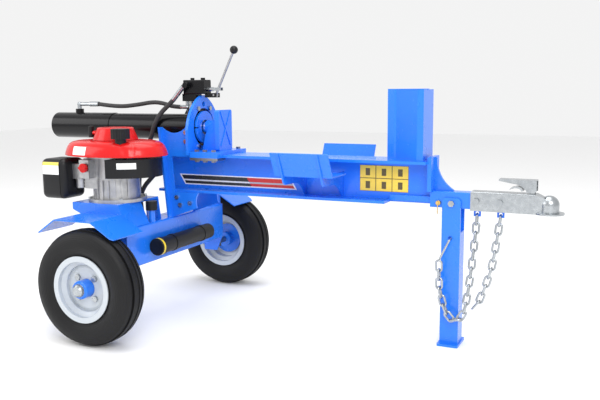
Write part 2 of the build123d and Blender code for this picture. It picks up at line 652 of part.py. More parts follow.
# ---------------------------------------------------------------- safety chains
WIRE_R = 3.75
LINK_L = 46.0
LINK_W = 28.0
LINK_PITCH = LINK_L - 4 * WIRE_R - 0.5
bend_r = LINK_W / 2 - WIRE_R
straight = LINK_L - LINK_W
with BuildPart() as chain_link:
    with BuildLine() as link_path:
        Line((-straight / 2, bend_r), (straight / 2, bend_r))
        ThreePointArc((straight / 2, bend_r), (straight / 2 + bend_r, 0), (straight / 2, -bend_r))
        Line((straight / 2, -bend_r), (-straight / 2, -bend_r))
        ThreePointArc((-straight / 2, -bend_r), (-straight / 2 - bend_r, 0), (-straight / 2, bend_r))
    with BuildSketch(Plane(origin=(0, bend_r, 0), z_dir=(1, 0, 0))):
        Circle(WIRE_R)
    sweep(path=link_path.wire())


CHAIN_TOP = 461.0
REAR_CHAIN_X, FRONT_CHAIN_X = CLAMP_BOLT_X
FRONT_CHAIN = (
    (FRONT_CHAIN_X, BEAM_Y, CHAIN_TOP),
    (AXLE_X + 1304, BEAM_Y - 6, 380),
    (AXLE_X + 1292, BEAM_Y - 12, 290),
    (AXLE_X + 1270, BEAM_Y - 16, 212),
    (AXLE_X + 1250, BEAM_Y - 19, 160),
    (AXLE_X + 1227, BEAM_Y - 20, 134),
)
REAR_CHAIN = (
    (REAR_CHAIN_X, BEAM_Y, CHAIN_TOP),
    (AXLE_X + 1231, BEAM_Y - 8, 380),
    (AXLE_X + 1224, BEAM_Y - 24, 270),
    (AXLE_X + 1216, BEAM_Y - 46, 170),
    (AXLE_X + 1208, BEAM_Y - 58, 122),
    (AXLE_X + 1186, BEAM_Y - 60, 96),
    (AXLE_X + 1162, BEAM_Y - 60, 104),
    (AXLE_X + 1143, BEAM_Y - 60, 138),
    (AXLE_X + 1124, BEAM_Y - 60, 206),
    (AXLE_X + 1120, BEAM_Y - 60, 322),
)
HOOK_LOW = (AXLE_X + 1124, BEAM_Y - 60, 312)
HOOK_BEND = (AXLE_X + 1154, BEAM_Y - 56, 376)
HOOK_TIP = (AXLE_X + 1156, BEAM_Y - LEG_W / 2 - WIRE_R - 1.5, 380)
for name, points in (("safety_chain_front", FRONT_CHAIN), ("safety_chain_rear", REAR_CHAIN)):
    route = Wire.make_polygon([Vector(*point) for point in points], close=False)
    with BuildPart() as chain:
        for i in range(int(route.length // LINK_PITCH)):
            start = route.position_at(i * LINK_PITCH, position_mode=PositionMode.LENGTH)
            end = route.position_at((i + 1) * LINK_PITCH, position_mode=PositionMode.LENGTH)
            along = (end - start).normalized()
            across = (Vector(0, 1, 0) - along * along.Y).normalized()
            normal = along.cross(across) if i % 2 == 0 else across
            link_plane = Plane(origin=(start + end) / 2, x_dir=along, z_dir=normal)
            add(chain_link.part.moved(link_plane.location))
        if name == "safety_chain_rear":
            add(rod_between(HOOK_LOW, HOOK_BEND, WIRE_R))
            add(rod_between(HOOK_BEND, HOOK_TIP, WIRE_R))
            with Locations(HOOK_BEND, HOOK_TIP, HOOK_LOW):
                Sphere(WIRE_R)
    print(name, "links", int(route.length // LINK_PITCH), "solids", len(chain.part.solids()))
    keep(chain, name)

# ---------------------------------------------------------------- oil tank across the axle
TANK_MID_X = (TANK_X0 + TANK_X1) / 2
NECK_X = AXLE_X + 44.0
NECK_Y = -160.0
NECK_R = 13.0
NECK_TOP = 448.0
BRACKET_T = 8.0
with BuildPart() as oil_tank:
    with BuildSketch(Plane.XY.offset(TANK_Z0)):
        with Locations((TANK_MID_X, 0)):
            Rectangle(TANK_X1 - TANK_X0, 2 * TANK_Y)
    extrude(amount=TANK_Z1 - TANK_Z0)
    fillet(oil_tank.edges().filter_by(Axis.Y), 8)
    with BuildSketch(Plane.XY.offset(TANK_Z1 - 2)):
        with Locations((NECK_X, NECK_Y)):
            Circle(NECK_R)
    extrude(amount=NECK_TOP - TANK_Z1 + 2)
    with BuildSketch(Plane.XY.offset(TANK_Z0 + TANK_WALL)):
        with Locations((TANK_MID_X, 0)):
            Rectangle(TANK_X1 - TANK_X0 - 2 * TANK_WALL, 2 * TANK_Y - 2 * TANK_WALL)
    extrude(amount=TANK_Z1 - TANK_Z0 - 2 * TANK_WALL, mode=Mode.SUBTRACT)
    with BuildSketch(Plane.XY.offset(TANK_Z1 - 12)):
        with Locations((NECK_X, NECK_Y)):
            Circle(NECK_R - 4)
    extrude(amount=NECK_TOP, mode=Mode.SUBTRACT)
    for side in (-1, 1):
        with BuildSketch(Plane(origin=(0, side * TANK_Y, 0), x_dir=(1, 0, 0), z_dir=(0, side, 0))):
            with BuildLine():
                Polyline(
                    (TANK_X0, side * -TANK_Z1), (TANK_X1, side * -TANK_Z1),
                    (TANK_X1, side * -(TANK_Z0 + 10)), (AXLE_X + 30, side * -(AXLE_Z - 26)),
                    (AXLE_X - 30, side * -(AXLE_Z - 26)), (TANK_X0, side * -(TANK_Z0 + 10)),
                    close=True,
                )
            make_face()
        extrude(amount=BRACKET_T)
keep(oil_tank, "oil_tank")

CAP_R = 22.0
with BuildPart() as tank_cap:
    with BuildSketch(Plane.XY.offset(NECK_TOP - 12)):
        with Locations((NECK_X, NECK_Y)):
            Circle(CAP_R)
    extrude(amount=34)
    fillet(tank_cap.edges().group_by(Axis.Z)[-1], 3)
    with BuildSketch(Plane.XY.offset(NECK_TOP - 13)):
        with Locations((NECK_X, NECK_Y)):
            Circle(NECK_R + FIT)
    extrude(amount=14, mode=Mode.SUBTRACT)
keep(tank_cap, "tank_cap")

SPINDLE_TIP = TRACK / 2 + 56.0
with BuildPart() as axle_spindles:
    for side in (-1, 1):
        wall = facing(AXLE_X, side * (TANK_Y + BRACKET_T), AXLE_Z, (0, side, 0))
        with BuildSketch(wall):
            Rectangle(36, 36)
        extrude(amount=52)
        with BuildSketch(wall):
            Circle(SPINDLE_R)
        extrude(amount=SPINDLE_TIP - TANK_Y - BRACKET_T)
        with BuildSketch(facing(AXLE_X, side * (SPINDLE_TIP - 12), AXLE_Z, (0, side, 0))):
            RegularPolygon(18, 6, major_radius=False)
        extrude(amount=10)
keep(axle_spindles, "axle_spindles")


# ---------------------------------------------------------------- wheels
RIM_R = 118.0
BEAD_R = 103.0
RIM_Y = 52.0                         # rim flange from the middle of the wheel
DISC_Y = 18.0                        # outer face of the wheel disc
LUG_R = 50.8                         # four studs on a four inch circle
HUB_R = 32.0
RACE_R = 24.0
HUB_IN = -30.0
HUB_OUT = 60.0
CAP_END = 73.5
BEARING_MID = (RACE_R + SPINDLE_R) / 2
BEARING_T = RACE_R - SPINDLE_R - 2 * FIT
for side, end in ((-1, "near"), (1, "far")):
    middle = Plane(origin=(AXLE_X, side * TRACK / 2, AXLE_Z), x_dir=(1, 0, 0), z_dir=(0, 0, side))
    axle = Axis(origin=(AXLE_X, 0, AXLE_Z), direction=(0, 1, 0))
    with BuildPart() as tyre:
        with BuildSketch(middle):
            with BuildLine():
                Polyline((BEAD_R, -36), (BEAD_R, -45), (RIM_R + 2, -46))
                ThreePointArc((RIM_R + 2, -46), (156, -TYRE_W / 2), (194, -51))
                ThreePointArc((194, -51), (TYRE_R, 0), (194, 51))
                ThreePointArc((194, 51), (156, TYRE_W / 2), (RIM_R + 2, 46))
                Polyline((RIM_R + 2, 46), (BEAD_R, 45), (BEAD_R, 36))
                ThreePointArc((BEAD_R, 36), (152, 51), (186, 42))
                ThreePointArc((186, 42), (196, 0), (186, -42))
                ThreePointArc((186, -42), (152, -51), (BEAD_R, -36))
            make_face()
            with Locations(*[(TYRE_R, y) for y in (-30, -10, 10, 30)]):
                Rectangle(14, 5, mode=Mode.SUBTRACT)
        revolve(axis=axle)
    keep(tyre, "tyre_" + end)
    with BuildPart() as rim:
        with BuildSketch(middle):
            with BuildLine():
                Polyline(
                    (RIM_R, RIM_Y), (RIM_R, RIM_Y - 4), (BEAD_R, RIM_Y - 6), (BEAD_R, 34), (88, 24),
                    (88, -24), (BEAD_R, -34), (BEAD_R, -RIM_Y + 6), (RIM_R, -RIM_Y + 4), (RIM_R, -RIM_Y),
                    (BEAD_R - 4, -RIM_Y), (BEAD_R - 4, -32), (84, -22),
                    (84, 8), (70, DISC_Y - 4), (HUB_R + 1, DISC_Y - 4), (HUB_R + 1, DISC_Y),
                    (72, DISC_Y), (84, 14), (84, 26), (BEAD_R - 4, 36), (BEAD_R - 4, RIM_Y),
                    close=True,
                )
            make_face()
        revolve(axis=axle)
        with BuildSketch(facing(AXLE_X, side * (TRACK / 2), AXLE_Z, (0, side, 0))):
            with PolarLocations(LUG_R, 4, start_angle=45):
                Circle(6.2)
        extrude(amount=DISC_Y + 6, mode=Mode.SUBTRACT)
    keep(rim, "rim_" + end)
    with BuildPart() as hub:
        with BuildSketch(middle):
            Polygon(
                (RACE_R, HUB_IN), (HUB_R, HUB_IN), (HUB_R, DISC_Y - 14), (66, DISC_Y - 13),
                (66, DISC_Y - 4), (HUB_R, DISC_Y - 4), (HUB_R, HUB_OUT - 6), (HUB_R - 4, HUB_OUT),
                (RACE_R, HUB_OUT),
                align=None,
            )
        revolve(axis=axle)
        with BuildSketch(middle):
            with Locations((BEARING_MID, HUB_IN + 10), (BEARING_MID, 34)):
                Rectangle(BEARING_T, 15)
        revolve(axis=axle)
    keep(hub, "hub_" + end)
    with BuildPart() as lug_bolts:
        for angle in (45, 135, 225, 315):
            seat = facing(
                AXLE_X + LUG_R * cos(radians(angle)),
                side * (TRACK / 2 + DISC_Y),
                AXLE_Z + LUG_R * sin(radians(angle)),
                (0, side, 0),
            )
            add(hex_bolt(6, 4).moved(seat.location))
    keep(lug_bolts, "lug_bolts_" + end)
    with BuildPart() as hub_cap:
        with BuildSketch(middle):
            with BuildLine():
                Polyline(
                    (0, CAP_END), (16, CAP_END), (21, CAP_END - 5), (RACE_R, HUB_OUT), (RACE_R, HUB_OUT - 10),
                    (RACE_R - 2, HUB_OUT - 10), (RACE_R - 2, HUB_OUT), (19, CAP_END - 6), (15, CAP_END - 2),
                    (0, CAP_END - 2), close=True,
                )
            make_face()
        revolve(axis=axle)
    keep(hub_cap, "hub_cap_" + end)

# ---------------------------------------------------------------- engine deck and fenders
DECK_X0 = AXLE_X - 191.0
DECK_X1 = AXLE_X + 19.0
DECK_Y0 = -327.0
DECK_Y1 = -80.0
PLATE_T = 6.0
RIB_Z0 = TANK_Z1
with BuildPart() as engine_deck:
    with BuildSketch(Plane.XY.offset(DECK_Z - 8)):
        with Locations(((DECK_X0 + DECK_X1) / 2, (DECK_Y0 + DECK_Y1) / 2)):
            Rectangle(DECK_X1 - DECK_X0, DECK_Y1 - DECK_Y0)
        with Locations((ENGINE_X, ENGINE_Y)):
            Circle(30, mode=Mode.SUBTRACT)
    extrude(amount=8)
    with BuildSketch(Plane(origin=(AXLE_X, DECK_Y0, 0), x_dir=(1, 0, 0), z_dir=(0, -1, 0))):
        Polygon((-191, 474), (19, 474), (58, RIB_Z0), (-38, RIB_Z0), (-120, 420), (-191, 450), align=None)
    extrude(amount=-PLATE_T)
    with BuildSketch(Plane(origin=(AXLE_X, DECK_Y1, 0), x_dir=(1, 0, 0), z_dir=(0, -1, 0))):
        Polygon((-36, 474), (19, 474), (30, RIB_Z0), (-36, RIB_Z0), align=None)
    extrude(amount=PLATE_T)
    with BuildSketch(Plane(origin=(AXLE_X, DECK_Y0, 0), x_dir=(1, 0, 0), z_dir=(0, -1, 0))):
        Polygon((14, 475), (19, 475), (58, RIB_Z0), (52, RIB_Z0), align=None)
    extrude(amount=-132)
keep(engine_deck, "engine_deck")

FENDER_T = 4.0
for side, name in ((-1, "fender_near"), (1, "fender_far")):
    with BuildPart() as fender:
        with BuildSketch(Plane(origin=(AXLE_X, side * 327, 0), x_dir=(1, 0, 0), z_dir=(0, side, 0))):
            with BuildLine():
                Polyline(
                    (-200, -side * 392), (-125, -side * 442), (35, -side * 442), (126, -side * 387),
                    (124, -side * (387 - FENDER_T)), (34, -side * (442 - FENDER_T)),
                    (-124, -side * (442 - FENDER_T)), (-198, -side * (392 - FENDER_T)), close=True,
                )
            make_face()
        extrude(amount=173)
        with BuildSketch(Plane.XY.offset(380)):
            with BuildLine():
                corner = side * 502
                Polyline((AXLE_X + 130, corner), (AXLE_X + 130, side * 484), (AXLE_X + 112, corner), close=True)
            make_face()
        extrude(amount=70, mode=Mode.SUBTRACT)
        if side > 0:
            add(block(AXLE_X - 36, AXLE_X + 56, 320, 327, TANK_Z1, 441))
    keep(fender, name)

CAN_X = TANK_X1 + 33.0
CAN_Z = 303.0
CAN_Y0 = -205.0                      # the capped end, towards the near wheel
CAN_Y1 = 160.0
with BuildPart() as manual_canister:
    with BuildSketch(facing(CAN_X, CAN_Y0 + 9, CAN_Z, (0, 1, 0))):
        Circle(31)
    extrude(amount=CAN_Y1 - CAN_Y0 - 9)
    with BuildSketch(facing(CAN_X, CAN_Y0, CAN_Z, (0, 1, 0))):
        Circle(33)
    extrude(amount=34)
    fillet(manual_canister.edges().sort_by(Axis.Y)[0], 4)
    for clip_y in (-110, 90):
        with BuildSketch(facing(CAN_X, clip_y, CAN_Z, (0, 1, 0))):
            Circle(33)
        extrude(amount=16)
keep(manual_canister, "manual_canister")

# ---------------------------------------------------------------- engine
BLOCK_X0 = ENGINE_X - 90.0
with BuildPart() as engine_crankcase:
    with BuildSketch(Plane.XY.offset(DECK_Z)):
        with Locations((ENGINE_X, ENGINE_Y)):
            Circle(108)
    extrude(amount=12)
    with BuildSketch(Plane.XY.offset(DECK_Z + 12)):
        with Locations((ENGINE_X, ENGINE_Y)):
            Circle(86)
    extrude(amount=COVER_Z - DECK_Z - 20, taper=2)
    add(block(BLOCK_X0, ENGINE_X, -290, -160, 525, COVER_Z - 10))
    for fin_z in range(535, 640, 12):
        add(block(BLOCK_X0 - 6, ENGINE_X - 60, -288, -154, fin_z, fin_z + 4))
    with BuildSketch(Plane.XY.offset(COVER_Z - 8)):
        with Locations((ENGINE_X, ENGINE_Y)):
            Circle(103)
    extrude(amount=8)
    for angle in range(190, 350, 16):
        with BuildSketch(Plane.XY.offset(DECK_Z + 12)):
            with Locations(Location((ENGINE_X, ENGINE_Y), angle)):
                with Locations((85, 0)):
                    Rectangle(10, 5)
        extrude(amount=70)
    with BuildSketch(Plane.XY.offset(DECK_Z - 1)):
        with Locations((ENGINE_X, ENGINE_Y)):
            Circle(14)
    extrude(amount=COVER_Z, mode=Mode.SUBTRACT)
keep(engine_crankcase, "engine_crankcase")

COVER_TOP = 705.0
TANK_CUT_R = 100.0
FUEL_X = AXLE_X + 20.0
FUEL_Y = -298.0
with BuildPart() as engine_cover:
    with BuildSketch(Plane.XY.offset(COVER_Z)):
        with Locations((ENGINE_X, ENGINE_Y)):
            Ellipse(212, 145)
    with BuildSketch(Plane.XY.offset(COVER_TOP)):
        with Locations((ENGINE_X, ENGINE_Y)):
            Ellipse(180, 120)
    loft()
    with BuildSketch(Plane.XY.offset(COVER_Z - 1)):
        with Locations((ENGINE_X, ENGINE_Y)):
            Ellipse(208, 141)
    with BuildSketch(Plane.XY.offset(COVER_TOP - 4)):
        with Locations((ENGINE_X, ENGINE_Y)):
            Ellipse(175, 115)
    loft(mode=Mode.SUBTRACT)
    with BuildSketch(Plane.XY.offset(COVER_TOP - 6)):
        with Locations((ENGINE_X, ENGINE_Y)):
            Circle(60)
    extrude(amount=10, mode=Mode.SUBTRACT)
    with BuildSketch(Plane.XY.offset(COVER_Z)):
        with Locations((FUEL_X, FUEL_Y)):
            Circle(24)
    extrude(amount=COVER_TOP, mode=Mode.SUBTRACT)
    for dx, dy in ((-72, -72), (-72, 72), (72, 72), (102, -8)):
        with BuildSketch(Plane.XY.offset(COVER_Z)):
            with Locations((ENGINE_X + dx, ENGINE_Y + dy)):
                Circle(6)
        extrude(amount=COVER_TOP - 3 - COVER_Z)
keep(engine_cover, "engine_cover")

GRIP_X = AXLE_X - 160.0
GRIP_Y = -240.0
GRIP_Z = 738.0
with BuildPart() as starter_housing:
    with BuildSketch(Plane.XY.offset(COVER_TOP)):
        with Locations((ENGINE_X, ENGINE_Y)):
            Circle(84)
    with BuildSketch(Plane.XY.offset(750)):
        with Locations((ENGINE_X, ENGINE_Y)):
            Circle(66)
    loft()
    fillet(starter_housing.edges().group_by(Axis.Z)[-1], 8)
    with BuildSketch(Plane.XY.offset(COVER_TOP)):
        with Locations((ENGINE_X, ENGINE_Y)):
            Circle(78)
    with BuildSketch(Plane.XY.offset(745)):
        with Locations((ENGINE_X, ENGINE_Y)):
            Circle(60)
    loft(mode=Mode.SUBTRACT)
    for angle in range(0, 360, 15):
        with BuildSketch(Plane.XY.offset(743)):
            with Locations(Location((ENGINE_X, ENGINE_Y), angle)):
                with Locations((42, 0)):
                    RectangleRounded(28, 5, 2)
        extrude(amount=10, mode=Mode.SUBTRACT)
    with BuildSketch(Plane.XY.offset(COVER_TOP)):
        with Locations((FUEL_X, FUEL_Y)):
            Circle(36)
    extrude(amount=60, mode=Mode.SUBTRACT)
    with BuildSketch(facing(GRIP_X + 10, GRIP_Y, GRIP_Z - 8, (1, 0, 0))):
        Circle(7)
    extrude(amount=24)
    with BuildSketch(facing(GRIP_X + 8, GRIP_Y, GRIP_Z - 8, (1, 0, 0))):
        Circle(3)
    extrude(amount=60, mode=Mode.SUBTRACT)
keep(starter_housing, "starter_housing")

with BuildPart() as starter_grip:
    with Locations((GRIP_X, GRIP_Y, GRIP_Z - 4)):
        Box(16, 20, 42)
    fillet(starter_grip.edges().filter_by(Axis.Z), 6)
    with BuildSketch(facing(GRIP_X + 6, GRIP_Y, GRIP_Z - 8, (1, 0, 0))):
        Circle(2)
    extrude(amount=66)
keep(starter_grip, "starter_grip")

with BuildPart() as engine_fuel_tank:
    for grow, z0, z1, mode in ((0, 572, COVER_Z - 8, Mode.ADD), (-4, 576, COVER_Z - 12, Mode.SUBTRACT)):
        with BuildSketch(Plane.XY.offset(z0)):
            with Locations((ENGINE_X, ENGINE_Y)):
                Ellipse(185 + grow, 136 + grow)
                Circle(TANK_CUT_R - grow, mode=Mode.SUBTRACT)
            with Locations((ENGINE_X - 300 + 50 - grow, ENGINE_Y)):
                Rectangle(600, 400, mode=Mode.SUBTRACT)
        extrude(amount=z1 - z0, mode=mode)
    with BuildSketch(Plane.XY.offset(COVER_Z - 10)):
        with Locations((FUEL_X, FUEL_Y)):
            Circle(20)
    extrude(amount=737 - COVER_Z + 10)
    with BuildSketch(Plane.XY.offset(COVER_Z - 20)):
        with Locations((FUEL_X, FUEL_Y)):
            Circle(15)
    extrude(amount=120, mode=Mode.SUBTRACT)
keep(engine_fuel_tank, "engine_fuel_tank")

FUEL_CAP_R = 33.0
with BuildPart() as fuel_cap:
    with BuildSketch(Plane.XY.offset(714)):
        with Locations((FUEL_X, FUEL_Y)):
            Circle(FUEL_CAP_R - 1)
            with PolarLocations(FUEL_CAP_R - 2, 18):
                Circle(3)
    extrude(amount=36)
    with BuildSketch(Plane.XY.offset(713)):
        with Locations((FUEL_X, FUEL_Y)):
            Circle(20 + FIT)
    extrude(amount=25, mode=Mode.SUBTRACT)
keep(fuel_cap, "fuel_cap")

CLEANER_X0 = AXLE_X - 325.0
CLEANER_X1 = AXLE_X - 208.0
with BuildPart() as air_cleaner:
    with Locations(((CLEANER_X0 + CLEANER_X1) / 2, -285, 561)):
        Box(CLEANER_X1 - CLEANER_X0, 120, 150)
    fillet(air_cleaner.edges().filter_by(Axis.X), 16)
    fillet(air_cleaner.edges().sort_by(Axis.X)[:8], 8)
keep(air_cleaner, "air_cleaner")

KNOB_X = AXLE_X - 128.0
KNOB_Z = 612.0
CARB_Y0 = -322.0
with BuildPart() as carburettor:
    add(block(CLEANER_X1, BLOCK_X0 - 6, -300, -256, 560, 616))
    with BuildSketch(Plane.XY.offset(526)):
        with Locations((AXLE_X - 187, -278)):
            Circle(20)
    extrude(amount=36)
    add(block(BLOCK_X0 + 4, ENGINE_X - 42, CARB_Y0, -290, 566, 634))
keep(carburettor, "carburettor")

with BuildPart() as fuel_valve_knob:
    with BuildSketch(facing(KNOB_X, CARB_Y0, KNOB_Z - 6, (0, -1, 0))):
        Circle(9)
    extrude(amount=8)
    with BuildSketch(facing(KNOB_X, CARB_Y0 - 6, KNOB_Z - 6, (0, -1, 0))):
        Circle(17)
    extrude(amount=8)
    with Locations((KNOB_X, CARB_Y0 - 16, KNOB_Z - 6)):
        Box(32, 8, 9)
keep(fuel_valve_knob, "fuel_valve_knob")

with BuildPart() as crankshaft:
    for z0, z1, radius in ((405, 690, 12.7), (405, 445, 20), (660, 680, 92), (384, 406, 8)):
        with BuildSketch(Plane.XY.offset(z0)):
            with Locations((ENGINE_X, ENGINE_Y)):
                Circle(radius)
        extrude(amount=z1 - z0)
keep(crankshaft, "crankshaft")

PORT_Y = ENGINE_Y + 46.0
PRESSURE_X = AXLE_X - 90.0
with BuildPart() as hydraulic_pump:
    with BuildSketch(Plane.XY.offset(310)):
        with Locations((ENGINE_X, ENGINE_Y)):
            Circle(30)
    extrude(amount=90)
    with BuildSketch(Plane.XY.offset(398)):
        with Locations((ENGINE_X, ENGINE_Y)):
            Circle(52)
    extrude(amount=DECK_Z - 8 - 398)
    with BuildSketch(Plane.XY.offset(401)):
        with Locations((ENGINE_X, ENGINE_Y)):
            Circle(34)
    extrude(amount=DECK_Z, mode=Mode.SUBTRACT)
    add(rod_between((ENGINE_X + 20, ENGINE_Y, 335), (TANK_X0, ENGINE_Y, 335), 13))
    add(rod_between((PRESSURE_X, ENGINE_Y + 10, 350), (PRESSURE_X, PORT_Y, 350), 12))
    with BuildSketch(Plane.XY.offset(382)):
        with Locations((ENGINE_X, ENGINE_Y)):
            Circle(8 + FIT)
    extrude(amount=20, mode=Mode.SUBTRACT)
keep(hydraulic_pump, "hydraulic_pump")

with BuildPart() as muffler:
    add(block(AXLE_X - 176, AXLE_X - 96, -132, -86, 510, 600))
    fillet(muffler.edges().filter_by(Axis.X), 14)
    add(rod_between((AXLE_X - 148, -154, 560), (AXLE_X - 148, -130, 560), 10))
keep(muffler, "muffler")

# ---------------------------------------------------------------- control valve
VALVE_X0 = AXLE_X + 85.0
VALVE_X1 = AXLE_X + 180.0
VALVE_HALF = 25.0
SPOOL_Z = 889.0
SPOOL_R = 8.0
LEVER_X = AXLE_X + 217.0
LEVER_Z = 866.0
INLET_X = AXLE_X + 105.0
OUTLET_X = AXLE_X + 125.0
NIPPLE_X = FRONT_PORT_X
with BuildPart() as valve_body:
    add(block(VALVE_X0, VALVE_X1, BEAM_Y - VALVE_HALF, BEAM_Y + VALVE_HALF, 870, 925))
    fillet(valve_body.edges().filter_by(Axis.X), 5)
    add(block(AXLE_X + 76, AXLE_X + 140, BEAM_Y - 20, BEAM_Y + 20, 843, 872))
    with BuildSketch(Plane.XY.offset(924)):
        with Locations((AXLE_X + 160, BEAM_Y)):
            RegularPolygon(10, 6)
        with Locations((AXLE_X + 112, BEAM_Y)):
            Circle(8)
    extrude(amount=9)
    add(rod_between((INLET_X, BEAM_Y, 905), (INLET_X, BEAM_Y - 46, 905), 11))
    add(rod_between((OUTLET_X, BEAM_Y, 897), (OUTLET_X, BEAM_Y + 58, 897), 11))
    for side in (-1, 1):
        y = BEAM_Y + side * 12
        add(block(VALVE_X1 - 4, LEVER_X + 9, y - 3, y + 3, LEVER_Z - 9, LEVER_Z + 8))
        add(block(VALVE_X1 - 4, VALVE_X1, y - 3, y + 3, LEVER_Z - 9, 880))
    with BuildSketch(facing(VALVE_X0 - 1, BEAM_Y, SPOOL_Z, (1, 0, 0))):
        Circle(SPOOL_R + FIT)
    extrude(amount=VALVE_X1 - VALVE_X0 + 2, mode=Mode.SUBTRACT)
    with BuildSketch(facing(LEVER_X, BEAM_Y - 20, LEVER_Z, (0, 1, 0))):
        Circle(4 + FIT)
    extrude(amount=40, mode=Mode.SUBTRACT)
keep(valve_body, "valve_body")

CLEVIS_X = AXLE_X + 228.0
with BuildPart() as valve_spool:
    with BuildSketch(facing(VALVE_X0 - 8, BEAM_Y, SPOOL_Z, (1, 0, 0))):
        Circle(SPOOL_R)
    extrude(amount=AXLE_X + 208 - VALVE_X0 + 8)
    add(block(AXLE_X + 204, AXLE_X + 212, BEAM_Y - 10, BEAM_Y + 10, SPOOL_Z - 6, SPOOL_Z + 6))
    for side in (-1, 1):
        y = BEAM_Y + side * 8
        add(block(AXLE_X + 210, AXLE_X + 244, y - 2, y + 2, SPOOL_Z - 6, SPOOL_Z + 6))
keep(valve_spool, "valve_spool")

KNOB_AT = (AXLE_X + 301, BEAM_Y, 1036)
with BuildPart() as valve_lever:
    add(rod_between((LEVER_X, BEAM_Y, LEVER_Z), KNOB_AT, 5))
    with BuildSketch(facing(LEVER_X, BEAM_Y - 18, LEVER_Z, (0, 1, 0))):
        Circle(4)
    extrude(amount=36)
    with BuildSketch(facing(LEVER_X, BEAM_Y - 8, LEVER_Z, (0, 1, 0))):
        Circle(8)
    extrude(amount=16)
    with Locations(KNOB_AT):
        Sphere(15.5, mode=Mode.SUBTRACT)
keep(valve_lever, "valve_lever")

with BuildPart() as lever_knob:
    with Locations(KNOB_AT):
        Sphere(15.5)
keep(lever_knob, "lever_knob")

# ---------------------------------------------------------------- hoses and fittings
REAR_HOSE_Z = 831.0
REAR_HOSE = (
    (AXLE_X - 354, BEAM_Y, REAR_HOSE_Z),
    (AXLE_X - 258, BEAM_Y, 819),
    (AXLE_X - 156, BEAM_Y, 828),
    (AXLE_X - 78, BEAM_Y, 840),
    (AXLE_X - 25, BEAM_Y, 834),
    (AXLE_X + 15, BEAM_Y, 821),
    (AXLE_X + 54, BEAM_Y, 820),
)
PRESSURE_HOSE = (
    (PRESSURE_X, -150, 350),
    (PRESSURE_X, -110, 350),
    (AXLE_X - 93, -72, 366),
    (AXLE_X - 98, -44, 394),
    (AXLE_X - 103, -32, 434),
    (AXLE_X - 106, -32, 478),
    (AXLE_X - 106, -32, 524),
    (AXLE_X - 100, -30, 572),
    (AXLE_X - 83, -26, 622),
    (AXLE_X - 62, -21, 668),
    (AXLE_X - 44, -20, 712),
    (AXLE_X - 30, -19, 754),
    (AXLE_X - 9, -6, 797),
    (AXLE_X + 20, 6, 826),
    (AXLE_X + 45, 8, 849),
)
RETURN_HOSE = (
    (AXLE_X + 92, 100, 866),
    (AXLE_X + 58, 107, 820),
    (AXLE_X + 26, 108, 768),
    (AXLE_X, 107, 712),
    (AXLE_X - 20, 94, 656),
    (AXLE_X - 34, 62, 606),
    (AXLE_X - 44, 20, 568),
    (AXLE_X - 58, -18, 536),
    (AXLE_X - 72, -46, 506),
    (AXLE_X - 80, -60, 468),
    (AXLE_X - 78, -62, 426),
    (AXLE_X - 70, -62, 386),
)
cord(REAR_HOSE, 17.0, "rear_port_hose")
cord(PRESSURE_HOSE, 18.0, "pressure_hose")
cord(RETURN_HOSE, 18.0, "return_hose")

with BuildPart() as hydraulic_fittings:
    add(rod_between((REAR_PORT_X, BEAM_Y, PORT_TOP), (REAR_PORT_X, BEAM_Y, REAR_HOSE_Z), 9))
    with Locations((REAR_PORT_X, BEAM_Y, REAR_HOSE_Z)):
        Sphere(10)
    add(rod_between((REAR_PORT_X, BEAM_Y, REAR_HOSE_Z), (AXLE_X - 381, BEAM_Y, REAR_HOSE_Z), 8))
    add(rod_between((AXLE_X - 400, BEAM_Y, REAR_HOSE_Z), REAR_HOSE[0], 10.5))
    add(rod_between(REAR_HOSE[-1], (AXLE_X + 85, BEAM_Y, 820), 8))
    with Locations((AXLE_X + 85, BEAM_Y, 820)):
        Sphere(8)
    add(rod_between((AXLE_X + 85, BEAM_Y, 820), (AXLE_X + 85, BEAM_Y, 843), 6.5))
    add(rod_between((NIPPLE_X, BEAM_Y, PORT_TOP), (NIPPLE_X, BEAM_Y, 843), 8.5))
    add(rod_between(PRESSURE_HOSE[-1], (INLET_X - 8, 1, 900), 9.5))
    add(rod_between(RETURN_HOSE[0], (OUTLET_X - 10, BEAM_Y + 46, 890), 9.5))
    add(rod_between((PRESSURE_X, PORT_Y, 350), PRESSURE_HOSE[0], 9.5))
    add(rod_between(RETURN_HOSE[-1], (AXLE_X - 67, -62, 354), 9.5))
    add(rod_between((AXLE_X - 67, -62, 354), (TANK_X0, -62, 354), 9.5))
    add(valve_body.part, mode=Mode.SUBTRACT)
keep(hydraulic_fittings, "hydraulic_fittings")

